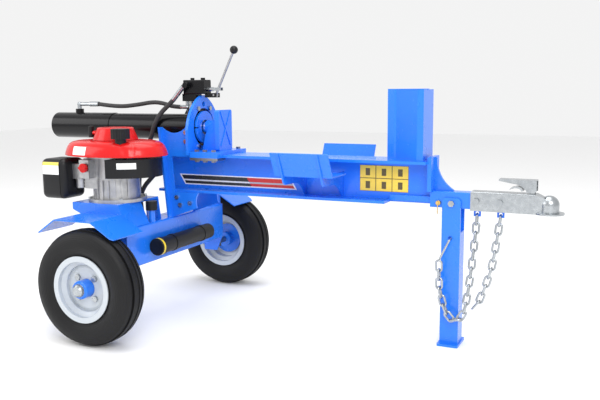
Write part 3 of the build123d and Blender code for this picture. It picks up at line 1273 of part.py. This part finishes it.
# ---------------------------------------------------------------- fixed bolts
with BuildPart() as frame_bolts:
    for x, z in ((CLAMP_BOLT_X[0], 511), (CLAMP_BOLT_X[1], 510)):
        seat = facing(x, BEAM_Y - COUPLER_HALF, z, (0, -1, 0))
        add(hex_bolt(6, 2 * COUPLER_HALF + 12, 2 * COUPLER_HALF).moved(seat.location))
    pivot = facing(PIVOT_X, BEAM_Y - LEG_HALF - 0.4, PIVOT_Z, (0, -1, 0))
    add(hex_bolt(6, LEG_W + 13, LEG_W + 0.8).moved(pivot.location))
    for dy in (-MOUNT_BOLT_Y, MOUNT_BOLT_Y):
        for dz in (-MOUNT_BOLT_Z, MOUNT_BOLT_Z):
            seat = facing(BULKHEAD_X + BULKHEAD_T, BEAM_Y + dy, CYL_Z + dz, (1, 0, 0))
            add(hex_bolt(5, 34, BULKHEAD_T + 14).moved(seat.location))
    for side in (-1, 1):
        face_y = BEAM_Y + side * (PLATE_Y + SIDE_T)
        for x, z in ((95, 440), (140, 450), (130, 690), (130, 725), (80, 470)):
            add(hex_bolt(5, 0).moved(facing(AXLE_X + x, face_y, z, (0, side, 0)).location))
    for dx, dy in ((-72, -72), (72, -72), (-72, 72), (72, 72)):
        place = Plane(origin=(ENGINE_X + dx, ENGINE_Y + dy, DECK_Z + 12))
        add(hex_bolt(4, 0).moved(place.location))
keep(frame_bolts, "frame_bolts")
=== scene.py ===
# %% [markdown]
# # A towable log splitter
# The imported model is the fixed frame, in metres. This lesson adds a camera,
# shapes the hoses, the engine's cover, the air cleaner and the tyres,
# and gives every surface a procedural finish.

# %% load the frame
import bpy
from math import atan2, degrees, hypot, pi, radians
from mathutils import Matrix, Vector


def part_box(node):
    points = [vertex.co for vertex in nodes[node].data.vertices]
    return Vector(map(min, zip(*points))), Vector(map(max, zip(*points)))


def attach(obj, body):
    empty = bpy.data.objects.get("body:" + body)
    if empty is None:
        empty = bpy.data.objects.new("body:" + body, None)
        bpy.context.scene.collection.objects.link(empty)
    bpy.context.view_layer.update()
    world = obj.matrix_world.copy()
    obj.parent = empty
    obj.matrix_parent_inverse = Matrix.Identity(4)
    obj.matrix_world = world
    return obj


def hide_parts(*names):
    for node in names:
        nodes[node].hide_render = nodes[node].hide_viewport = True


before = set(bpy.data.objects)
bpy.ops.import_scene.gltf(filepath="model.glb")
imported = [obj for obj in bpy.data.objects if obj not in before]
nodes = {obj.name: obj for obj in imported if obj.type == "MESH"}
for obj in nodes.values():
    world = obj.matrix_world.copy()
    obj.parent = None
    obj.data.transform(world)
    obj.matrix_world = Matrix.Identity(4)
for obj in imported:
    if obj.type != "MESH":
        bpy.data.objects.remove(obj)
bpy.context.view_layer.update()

# %% [markdown]
# ## Camera
# A 45 mm lens at the height of someone crouching, on the near side by the tow
# end. It is turned back towards the engine and looks a little down. The
# Standard view transform is set because the default one washes out the blue.

# %% camera
camera_data = bpy.data.cameras.new("camera")
camera_data.lens = 45
camera_data.sensor_width = 36
camera_data.clip_end = 100
camera = bpy.data.objects.new("camera", camera_data)
bpy.context.collection.objects.link(camera)
turn = Matrix.Rotation(radians(24.93), 4, "Z")
tilt = Matrix.Rotation(radians(90 - 8.41), 4, "X")
roll = Matrix.Rotation(radians(-0.43), 4, "Z")
camera.matrix_world = Matrix.Translation((1.2745, -2.4807, 0.8865)) @ turn @ tilt @ roll
bpy.context.scene.camera = camera
bpy.context.scene.view_settings.view_transform = "Standard"
print("camera at", tuple(camera.location))

# %% [markdown]
# ## Hoses
# Each hose is one smooth spline that the points of its route pull along, and it
# takes the place of the plain tube in the frame. The radius is set on the
# points and the bevel is 1, so that the curve's box is as big as the hose.

# %% hoses
AXLE_X = -0.472
BEAM_Y = 0.044


def hose(name, node, points, diameter):
    """A hydraulic hose along a route of points measured from the axle."""
    curve = bpy.data.curves.new(name, "CURVE")
    curve.dimensions = "3D"
    spline = curve.splines.new("NURBS")
    spline.points.add(len(points) - 1)
    for point, (x, y, z) in zip(spline.points, points):
        point.co = (AXLE_X + x, y, z, 1)
        point.radius = diameter / 2
    spline.order_u = 3
    spline.use_endpoint_u = True
    spline.resolution_u = 12
    curve.bevel_depth = 1.0
    curve.bevel_resolution = 6
    piece = bpy.data.objects.new(name, curve)
    bpy.context.collection.objects.link(piece)
    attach(piece, "frame")
    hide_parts(node)
    x, y, z = points[0]
    return piece


rear_hose = hose("rear_port_line", "rear_port_hose", [
    (-0.354, BEAM_Y, 0.831), (-0.258, BEAM_Y, 0.819), (-0.156, BEAM_Y, 0.828), (-0.078, BEAM_Y, 0.840),
    (-0.025, BEAM_Y, 0.834), (0.015, BEAM_Y, 0.821), (0.054, BEAM_Y, 0.820),
], 0.017)
pressure_hose = hose("pressure_line", "pressure_hose", [
    (-0.090, -0.150, 0.350), (-0.090, -0.110, 0.350), (-0.093, -0.072, 0.366), (-0.098, -0.044, 0.394),
    (-0.103, -0.032, 0.434), (-0.106, -0.032, 0.478), (-0.106, -0.032, 0.524), (-0.100, -0.030, 0.572),
    (-0.083, -0.026, 0.622), (-0.062, -0.021, 0.668), (-0.044, -0.020, 0.712), (-0.030, -0.019, 0.754),
    (-0.009, -0.006, 0.797), (0.020, 0.006, 0.826), (0.045, 0.008, 0.849),
], 0.018)
return_hose = hose("return_line", "return_hose", [
    (0.092, 0.100, 0.866), (0.058, 0.107, 0.820), (0.026, 0.108, 0.768), (0.000, 0.107, 0.712),
    (-0.020, 0.094, 0.656), (-0.034, 0.062, 0.606), (-0.044, 0.020, 0.568), (-0.058, -0.018, 0.536),
    (-0.072, -0.046, 0.506), (-0.080, -0.060, 0.468), (-0.078, -0.062, 0.426), (-0.070, -0.062, 0.386),
], 0.018)
print("hoses", rear_hose.name, pressure_hose.name, return_hose.name)

# %% [markdown]
# ## Shader arithmetic
# Wrapping a socket in a small class lets a texture be written as an ordinary
# sum: `a * 0.5 + b` adds the two math nodes that it stands for.

# %% a socket that can be added and multiplied


class Sock:
    """One output of a shader node tree, with arithmetic."""

    def __init__(self, tree, socket):
        self.tree = tree
        self.socket = socket

    def node(self, kind, inputs, out=0, **settings):
        """Add any node; inputs maps a name or number to a value or a Sock."""
        made = self.tree.nodes.new(kind)
        for key, value in settings.items():
            setattr(made, key, value)
        for key, value in inputs.items():
            if isinstance(value, Sock):
                self.tree.links.new(value.socket, made.inputs[key])
            else:
                made.inputs[key].default_value = value
        return Sock(self.tree, made.outputs[out])

    def math(self, operation, *values):
        return self.node("ShaderNodeMath", dict(enumerate(values)), operation=operation)

    def __add__(self, other):
        return self.math("ADD", self, other)

    def __sub__(self, other):
        return self.math("SUBTRACT", self, other)

    def __mul__(self, other):
        return self.math("MULTIPLY", self, other)

    def __radd__(self, other):
        return self.math("ADD", other, self)

    def __rsub__(self, other):
        return self.math("SUBTRACT", other, self)

    def __rmul__(self, other):
        return self.math("MULTIPLY", other, self)

    def __gt__(self, other):
        return self.math("GREATER_THAN", self, other)

    def __lt__(self, other):
        return self.math("LESS_THAN", self, other)

    def between(self, low, high):
        return (self > low) * (self < high)

    def noise(self, scale, detail=4.0, roughness=0.55):
        return self.node("ShaderNodeTexNoise", {"Vector": self, "Scale": scale, "Detail": detail,
                                                "Roughness": roughness}, out="Fac")

    def fraction(self):
        return self.math("FRACT", self)

    def root(self):
        return self.math("SQRT", self)

    def sine(self):
        return self.math("SINE", self)

    def angle_to(self, other):
        """The angle whose tangent is this value over the other."""
        return self.math("ARCTAN2", self, other)

    def ramp(self, low, high):
        """Go from 0 at low to 1 at high."""
        return self.node("ShaderNodeMapRange", {"Value": self, "From Min": low, "From Max": high})

    def blend(self, a, b):
        """Mix two colours with this value as the factor."""
        return self.node("ShaderNodeMix", {0: self, 6: a, 7: b}, out=2, data_type="RGBA")


class Finish:
    """A new material whose sockets are filled in by expressions."""

    def __init__(self, name):
        self.material = bpy.data.materials.new(name)
        self.material.use_nodes = True
        self.tree = self.material.node_tree
        self.shader = self.tree.nodes["Principled BSDF"]
        coordinates = self.tree.nodes.new("ShaderNodeTexCoord")
        self.where = Sock(self.tree, coordinates.outputs["Object"])
        split = self.tree.nodes.new("ShaderNodeSeparateXYZ")
        self.tree.links.new(coordinates.outputs["Object"], split.inputs[0])
        self.x, self.y, self.z = [Sock(self.tree, socket) for socket in split.outputs]

    def set(self, **values):
        for key, value in values.items():
            socket = self.shader.inputs[key.replace("_", " ")]
            if isinstance(value, Sock):
                self.tree.links.new(value.socket, socket)
            else:
                socket.default_value = value

    def bump(self, height, strength, distance):
        made = height.node("ShaderNodeBump", {"Height": height, "Strength": strength,
                                              "Distance": distance})
        self.set(Normal=made)


def rgb(red, green, blue):
    return (red, green, blue, 1.0)


print("shader helpers ready")

# %% [markdown]
# ## Paint
# All the enamels share one recipe: a faint orange peel, broad patches of a
# second shade, and duller scuffs scattered at random.

# %% blue, black and white paint


def paint(name, colour, worn, peel=0.25, rough=0.2, coat=0.3, shine=0.4):
    finish = Finish(name)
    patches = finish.where.noise(7.0)
    grain = finish.where.noise(520.0, 2.0)
    scuffs = finish.where.noise(38.0, 8.0, 0.7).ramp(0.62, 0.74)
    finish.set(
        Base_Color=(patches * 0.35 + scuffs * 0.3).blend(colour, worn),
        Roughness=rough + patches * 0.14 + scuffs * 0.16,
        Coat_Weight=coat,
    )
    finish.set(Coat_Roughness=0.12, Specular_IOR_Level=shine)
    finish.bump(grain + patches * 0.5, peel, 0.0008)
    return finish


BLUE = rgb(0.010, 0.165, 0.78)
BLUE_WORN = rgb(0.022, 0.22, 0.88)
blue = paint("blue_enamel", BLUE, BLUE_WORN)
black = paint("black_enamel", rgb(0.003, 0.003, 0.004), rgb(0.012, 0.012, 0.013), rough=0.12,
              coat=0.05, shine=0.22)
white = paint("white_enamel", rgb(0.52, 0.56, 0.60), rgb(0.36, 0.39, 0.42))
print("paints", blue.material.name, black.material.name, white.material.name)

# %% [markdown]
# ## The beam's stripe and panel
# A plain banded stripe and a yellow panel of six squares, each with a plain dark
# block, are painted on the near side of the beam. Their edges are comparisons
# of the object's own coordinates, so no image is needed.

# %% beam with its stripe
beam = paint("beam_enamel", BLUE, BLUE_WORN)
SIDE_GAP = 0.003             # painted faces are at least this far from the middle
# lengths along the beam are measured from the axle
STRIPE_X, STRIPE_Z = (0.062, 0.545), (0.517, 0.550)
BORDER_X, BORDER_Z = (0.056, 0.551), (0.513, 0.554)
BAND_Z = (0.528, 0.534)
SLANT_Z, SLANT = 0.532, 0.6  # the stripe's ends lean round this height
RED_FROM = 0.36
near_face = beam.y < BEAM_Y - SIDE_GAP
slant = (beam.z - SLANT_Z) * SLANT
along = beam.x - AXLE_X + slant
stripe = along.between(*STRIPE_X) * beam.z.between(*STRIPE_Z) * near_face
border = along.between(*BORDER_X) * beam.z.between(*BORDER_Z) * near_face
bands = beam.z.between(*BAND_Z)
stripe_colour = (along > RED_FROM).blend(bands.blend(rgb(0.015, 0.015, 0.015), rgb(0.75, 0.75, 0.75)),
                                         bands.blend(rgb(0.60, 0.02, 0.02), rgb(0.45, 0.45, 0.46)))
base = (beam.where.noise(7.0) * 0.35).blend(BLUE, BLUE_WORN)
base = border.blend(base, rgb(0.85, 0.85, 0.85))

PANEL_X0, PANEL_X1 = 0.341, 0.522
PANEL_Z0, PANEL_Z1 = 0.524, 0.617
PANEL_COLUMNS, PANEL_ROWS = 3, 2
panel = beam.x.between(PANEL_X0, PANEL_X1) * beam.z.between(PANEL_Z0, PANEL_Z1) * near_face
column = ((beam.x - PANEL_X0) * (PANEL_COLUMNS / (PANEL_X1 - PANEL_X0))).fraction()
row = ((beam.z - PANEL_Z0) * (PANEL_ROWS / (PANEL_Z1 - PANEL_Z0))).fraction()
rule = 1 - column.between(0.025, 0.975) * row.between(0.03, 0.97)
dark = column.between(0.36, 0.64) * row.between(0.2, 0.76)
square = (rule + dark).blend(rgb(0.86, 0.60, 0.07), rgb(0.10, 0.07, 0.02))
base = panel.blend(base, square)
beam.set(Base_Color=stripe.blend(base, stripe_colour))
print("beam finish", beam.material.name)

# %% [markdown]
# ## Metals
# All the metals share one recipe too: a cloud between two shades and a fine
# grain. The scale, the roughness and the depth of the grain tell them apart,
# from smooth chrome to grainy cast aluminium.

# %% metals


def metal(name, colour, dull, scale, rough, depth=0.3):
    finish = Finish(name)
    cloud = finish.where.noise(scale)
    fine = finish.where.noise(scale * 9.0, 3.0)
    finish.set(Base_Color=cloud.blend(colour, dull), Metallic=1.0, Roughness=rough + cloud * 0.2)
    finish.bump(fine + cloud, depth, 0.0006)
    return finish


zinc = metal("zinc_plate", rgb(0.56, 0.59, 0.61), rgb(0.27, 0.29, 0.31), 60.0, 0.18)
steel = metal("turned_steel", rgb(0.42, 0.42, 0.43), rgb(0.24, 0.24, 0.25), 110.0, 0.25)
chrome = metal("hard_chrome", rgb(0.9, 0.9, 0.92), rgb(0.75, 0.75, 0.78), 25.0, 0.03, 0.05)
cast = metal("cast_aluminium", rgb(0.60, 0.60, 0.60), rgb(0.30, 0.30, 0.31), 45.0, 0.32, 0.8)
brass = metal("brass", rgb(0.83, 0.58, 0.22), rgb(0.55, 0.36, 0.12), 70.0, 0.22)
print("metals ready")

# %% [markdown]
# ## Plastics
# The engine's shell is glossy red and the black mouldings carry a fine grain.
# Labels are plain rectangles, and the canister has one yellow ring.

# %% plastics


def plastic(name, colour, light, rough, coat, grain=0.15):
    """A moulding whose colour drifts a little between two shades."""
    finish = Finish(name)
    cloud = finish.where.noise(12.0)
    fine = finish.where.noise(900.0, 2.0)
    finish.base = (cloud * 0.5).blend(colour, light)
    finish.set(Base_Color=finish.base, Roughness=rough + cloud * 0.12,
               Coat_Weight=coat, Specular_IOR_Level=0.25)
    finish.bump(fine, grain, 0.0004)
    return finish


def label_on(finish, x_range, z_range, front):
    """A blank label's mask: a rectangle on the faces nearer than front."""
    return finish.x.between(*x_range) * finish.z.between(*z_range) * (finish.y < front)


RED = rgb(0.56, 0.006, 0.007)
RED_LIGHT = rgb(0.66, 0.014, 0.014)
WHITE = rgb(0.86, 0.86, 0.84)
red = plastic("red_shell", RED, RED_LIGHT, 0.2, 0.2, 0.05)
cover_label = label_on(red, (-0.640, -0.570), (0.655, 0.685), -0.30)
red.set(Base_Color=cover_label.blend(red.base, WHITE))

BLACK = rgb(0.005, 0.005, 0.006)
BLACK_LIGHT = rgb(0.020, 0.020, 0.022)
moulding = plastic("black_moulding", BLACK, BLACK_LIGHT, 0.34, 0.04, 0.4)

cleaner = plastic("cleaner_moulding", BLACK, BLACK_LIGHT, 0.34, 0.04, 0.4)
CLEANER_LABEL_X = (-0.789, -0.706)
cleaner_label = label_on(cleaner, CLEANER_LABEL_X, (0.578, 0.624), -0.34)
heading = label_on(cleaner, CLEANER_LABEL_X, (0.612, 0.624), -0.34)
label_colour = heading.blend(WHITE, rgb(0.80, 0.62, 0.12))
cleaner.set(Base_Color=cleaner_label.blend(cleaner.base, label_colour))

fuel = plastic("tank_moulding", BLACK, BLACK_LIGHT, 0.26, 0.06, 0.3)
tank_label = label_on(fuel, (-0.450, -0.392), (0.606, 0.628), -0.25)
fuel.set(Base_Color=tank_label.blend(fuel.base, WHITE))

canister = plastic("canister_moulding", BLACK, BLACK_LIGHT, 0.40, 0.04, 0.4)
ring = canister.y.between(-0.199, -0.189)
canister.set(Base_Color=ring.blend(canister.base, rgb(0.75, 0.55, 0.03)))
print("plastics ready")

# %% [markdown]
# ## Rubber
# The tyres' rubber is dusty, with fine mould rings on the side wall and a trace
# of tread that follows the angle round the axle.

# %% rubber
tyre = Finish("tyre_rubber")
AXLE_Z = 0.207
TREAD_WAVES = 66.0           # per turn
RING_RATE = 900.0            # radians per metre of radius
across_x = tyre.x - AXLE_X
up_z = tyre.z - AXLE_Z
radius = (across_x * across_x + up_z * up_z).root()
blocks = (up_z.angle_to(across_x) * TREAD_WAVES).sine()
on_tread = radius.ramp(0.192, 0.196)
rings = (radius * RING_RATE).sine()
dust = tyre.where.noise(30.0)
tyre.set(Base_Color=(dust * 0.5).blend(rgb(0.004, 0.004, 0.005), rgb(0.018, 0.018, 0.018)),
         Roughness=0.42 + dust * 0.25, Specular_IOR_Level=0.25)
tyre.bump((blocks > 0.1) * on_tread * 0.2 + rings * 0.15 + dust * 0.1, 0.6, 0.002)

rubber = Finish("hose_rubber")
pores = rubber.where.noise(700.0, 2.0)
wear = rubber.where.noise(40.0)
rubber.set(Base_Color=(wear * 0.6).blend(rgb(0.020, 0.020, 0.022), rgb(0.07, 0.07, 0.07)),
           Roughness=0.45 + wear * 0.2, Specular_IOR_Level=0.3)
rubber.bump(pores, 0.5, 0.0006)
print("rubber ready")

# %% [markdown]
# ## Shaping the pieces
# A piece starts as a primitive, is shaped in edit mode, gets its modifiers
# applied, and takes the place of the plain solid in the frame.


def begin(name, primitive, **settings):
    """Add a primitive with nothing else selected, and enter edit mode."""
    bpy.ops.object.select_all(action="DESELECT")
    primitive(**settings)
    piece = bpy.context.object
    piece.name = name
    bpy.ops.object.mode_set(mode="EDIT")
    return piece


def modify(piece, kind, **settings):
    """Add a modifier, set it and apply it."""
    modifier = piece.modifiers.new(kind.lower(), kind)
    for key, value in settings.items():
        setattr(modifier, key, value)
    bpy.ops.object.modifier_apply(modifier=modifier.name)


def stand_for(piece, node, angle=35, body="frame"):
    """Smooth a finished piece and put it in place of a node of the frame."""
    bpy.ops.object.mode_set(mode="OBJECT")
    bpy.ops.object.transform_apply(location=True, rotation=True, scale=True)
    bpy.ops.object.shade_smooth_by_angle(angle=radians(angle))
    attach(piece, body)
    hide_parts(node)
    print(piece.name, "faces", len(piece.data.polygons), "stands for", node)


# %% [markdown]
# ## The engine's top cover
# The pressed shell is an oval skirt that rolls over at a soft shoulder into a
# nearly flat top. It is made from one oval edge, extruded upward and drawn in
# ring by ring, then pressed with two creases and thickened.

# %% engine cover
cover_low, cover_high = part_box("engine_cover")
cover_x = (cover_low[0] + cover_high[0]) / 2
cover_y = (cover_low[1] + cover_high[1]) / 2
half_x = (cover_high[0] - cover_low[0]) / 2
half_y = (cover_high[1] - cover_low[1]) / 2
cover = begin("cover_shell", bpy.ops.mesh.primitive_circle_add, vertices=160, radius=1.0,
              location=(cover_x, cover_y, cover_low[2]))
bpy.ops.transform.resize(value=(half_x, half_y, 1), center_override=(cover_x, cover_y, 0))
# how far each ring rises, in metres, and its scale against the one below
SHOULDER = ((0.004, 1.0), (0.016, 0.975), (0.014, 0.965), (0.009, 0.955), (0.006, 0.94), (0.004, 0.90),
            (0.002, 0.85), (0.001, 0.82), (0.0, 0.78))
for rise, draw in SHOULDER:
    bpy.ops.mesh.extrude_edges_move(TRANSFORM_OT_translate={"value": (0, 0, rise)})
    bpy.ops.transform.resize(value=(draw, draw, 1), center_override=(cover_x, cover_y, 0))
bpy.ops.mesh.select_all(action="SELECT")
bpy.ops.mesh.normals_make_consistent(inside=False)
bpy.ops.object.mode_set(mode="OBJECT")

CREASE_AT = -48.0            # degrees round the oval
CREASE_FOOT = 1.5            # half the gap between the creases at the rim
CREASE_SPREAD = 8.0          # how far each one moves out by the top
CREASE_WIDTH = 2.6           # from a crease's middle to its edge
CREASE_DEPTH = 0.005         # metres; the four above are degrees
for vertex in cover.data.vertices:
    x, y, z = vertex.co
    around = degrees(atan2(y * half_x, x * half_y))
    height = z / (cover_high[2] - cover_low[2])
    for side in (-1, 1):
        off = abs(around - CREASE_AT - side * (CREASE_FOOT + CREASE_SPREAD * height))
        press = CREASE_DEPTH * max(0.0, 1.0 - off / CREASE_WIDTH) * min(1.0, height * 3.0)
        vertex.co.x -= press * x / half_x
        vertex.co.y -= press * y / half_y
modify(cover, "SOLIDIFY", thickness=0.003, offset=-1)
modify(cover, "BEVEL", width=0.0008, segments=2, limit_method="ANGLE")
stand_for(cover, "engine_cover")

# %% [markdown]
# ## The air cleaner's case
# A moulded box with well rounded edges. A narrow groove for the parting line
# runs round the end by the engine.

# %% air cleaner
case_low, case_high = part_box("air_cleaner")
case_middle = [(low + high) / 2 for low, high in zip(case_low, case_high)]
case_size = [high - low for low, high in zip(case_low, case_high)]
case = begin("cleaner_case", bpy.ops.mesh.primitive_cube_add, size=1, location=case_middle)
bpy.ops.transform.resize(value=case_size, center_override=case_middle)
CASE_ROUND = 0.022
GROOVE_DEPTH = 0.0015
bpy.ops.mesh.bevel(offset=CASE_ROUND, segments=5, affect="EDGES")
groove_low, groove_high = case_size[0] * 0.30, case_size[0] * 0.34
for cut_x in (groove_low, groove_high, -case_size[0] * 0.38):
    bpy.ops.mesh.select_all(action="SELECT")
    bpy.ops.mesh.bisect(plane_co=(case_middle[0] + cut_x, 0, 0), plane_no=(1, 0, 0))
bpy.ops.object.mode_set(mode="OBJECT")
for face in case.data.polygons:
    face.select = groove_low < face.center.x < groove_high
bpy.ops.object.mode_set(mode="EDIT")
bpy.ops.mesh.extrude_region_shrink_fatten(TRANSFORM_OT_shrink_fatten={"value": -GROOVE_DEPTH})
bpy.ops.object.mode_set(mode="OBJECT")
stand_for(case, "air_cleaner", 30)

# %% [markdown]
# ## Tyres with real tread
# One closed profile is spun round the axle, with two grooves that run all the
# way round. Every second face of the middle and outer rows is then sunk, so
# that blocks are left between.

# %% tyres
TREAD_STEPS = 152
# reach from the axle and distance across the tyre, in millimetres
PROFILE = ((102, -36), (102, -45), (124, -47), (134, -56), (150, -60.5), (168, -60), (183, -55.5),
           (193, -50), (200, -43), (203.5, -34), (204.8, -27), (199, -26), (199, -21), (205.6, -20),
           (206.6, -9), (206.9, 0), (206.6, 9), (205.6, 20), (199, 21), (199, 26), (204.8, 27),
           (203.5, 34), (200, 43), (193, 50), (183, 55.5), (168, 60), (150, 60.5), (134, 56),
           (124, 47), (102, 45), (102, 36), (124, 45), (152, 51), (176, 47), (190, 24), (194, 0),
           (190, -24), (176, -47), (152, -51), (124, -45))
SINK = 0.0028
TREAD_REACH = 0.192          # faces further from the axle than this are tread


def make_tyre(end):
    """The tyre at the near or the far end of the axle."""
    low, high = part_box("tyre_" + end)
    axle = [(a + b) / 2 for a, b in zip(low, high)]
    piece = begin("tyre_tread_" + end, bpy.ops.mesh.primitive_circle_add, vertices=len(PROFILE),
                  radius=0.1, location=axle)
    bpy.ops.object.mode_set(mode="OBJECT")
    for vertex, (reach, across) in zip(piece.data.vertices, PROFILE):
        vertex.co = (reach / 1000, across / 1000, 0)
    bpy.ops.object.mode_set(mode="EDIT")
    bpy.ops.mesh.select_all(action="SELECT")
    bpy.ops.mesh.spin(steps=TREAD_STEPS, angle=2 * pi, center=axle, axis=(0, 1, 0), use_auto_merge=True)
    bpy.ops.mesh.select_all(action="SELECT")
    bpy.ops.mesh.remove_doubles(threshold=0.00001)
    bpy.ops.mesh.normals_make_consistent(inside=False)
    bpy.ops.mesh.select_all(action="DESELECT")
    bpy.ops.object.mode_set(mode="OBJECT")
    for face in piece.data.polygons:
        middle = face.center
        around = degrees(atan2(middle.z, middle.x)) % 360 * TREAD_STEPS / 360
        reach = hypot(middle.x, middle.z)
        shoulder = 0.030 < abs(middle.y) < 0.0535 and reach > TREAD_REACH
        centre = abs(middle.y) < 0.0095 and reach > TREAD_REACH + 0.01
        face.select = int(around) % 2 == 0 and (shoulder or centre)
    bpy.ops.object.mode_set(mode="EDIT")
    bpy.ops.mesh.extrude_region_shrink_fatten(TRANSFORM_OT_shrink_fatten={"value": -SINK})
    stand_for(piece, "tyre_" + end, 40, "wheel_" + end)
    print("tyre size", [round(value, 3) for value in piece.dimensions])
    return piece


tread_near = make_tyre("near")
tread_far = make_tyre("far")

# %% [markdown]
# ## Which surface gets which finish
# One dictionary says what each node is finished in. Any node that it leaves
# out is blue, because most of the machine is painted with the frame.

# %% assign the finishes
finishes = {
    beam: ["main_beam"],
    black: ["cylinder_barrel", "valve_body", "muffler"],
    white: ["rim_near", "rim_far"],
    zinc: ["coupler_body", "coupler_latch", "safety_chain_front", "safety_chain_rear", "hub_cap_near",
           "hub_cap_far", "lug_bolts_near", "lug_bolts_far", "frame_bolts", "hydraulic_fittings",
           "valve_spool"],
    steel: ["cylinder_gland", "ram_piston", "pusher_keepers", "axle_spindles", "crankshaft", "valve_lever"],
    chrome: ["ram_rod"],
    cast: ["engine_crankcase", "carburettor", "hydraulic_pump"],
    brass: ["lock_pin"],
    red: ["engine_cover", "starter_housing", "fuel_valve_knob"],
    moulding: ["fuel_cap", "starter_grip", "tank_cap", "lever_knob"],
    cleaner: ["air_cleaner"],
    fuel: ["engine_fuel_tank"],
    canister: ["manual_canister"],
    tyre: ["tyre_near", "tyre_far"],
}
finish_of = {name: finish for finish, names in finishes.items() for name in names}
for name, node in nodes.items():
    finish = finish_of.get(name, blue)
    for slot in node.material_slots:
        slot.material = finish.material
for piece, finish in ((rear_hose, rubber), (pressure_hose, rubber), (return_hose, rubber),
                      (cover, red), (case, cleaner), (tread_near, tyre), (tread_far, tyre)):
    piece.data.materials.append(finish.material)
print("finishes on", len(nodes), "nodes")

# %% [markdown]
# ## Studio
# A pale floor and sky, with three large soft lights.

# %% floor and lights
bpy.ops.object.select_all(action="DESELECT")
bpy.ops.mesh.primitive_plane_add(size=24, location=(0, 0, 0))
floor = bpy.context.object
floor.name = "studio_floor"
ground = Finish("studio_floor")
ground.set(Base_Color=rgb(0.93, 0.93, 0.93), Roughness=0.7)
floor.data.materials.append(ground.material)

world = bpy.data.worlds.new("studio")
bpy.context.scene.world = world
world.use_nodes = True
world.node_tree.nodes["Background"].inputs["Color"].default_value = rgb(1.0, 1.0, 1.0)
world.node_tree.nodes["Background"].inputs["Strength"].default_value = 0.9

for name, place, tilt_x, tilt_z, size, power in (
    ("key", (2.5, -3.5, 3.2), 52, 35, 2.2, 120),
    ("fill", (-3.5, -2.5, 2.4), 58, -55, 2.5, 50),
    ("top", (0.0, 0.0, 4.0), 0, 0, 3.0, 90),
):
    light = bpy.data.lights.new(name, "AREA")
    light.size = size
    light.energy = power
    lamp = bpy.data.objects.new(name, light)
    lamp.location = place
    lamp.rotation_euler = (radians(tilt_x), 0, radians(tilt_z))
    bpy.context.collection.objects.link(lamp)
print("studio lit")
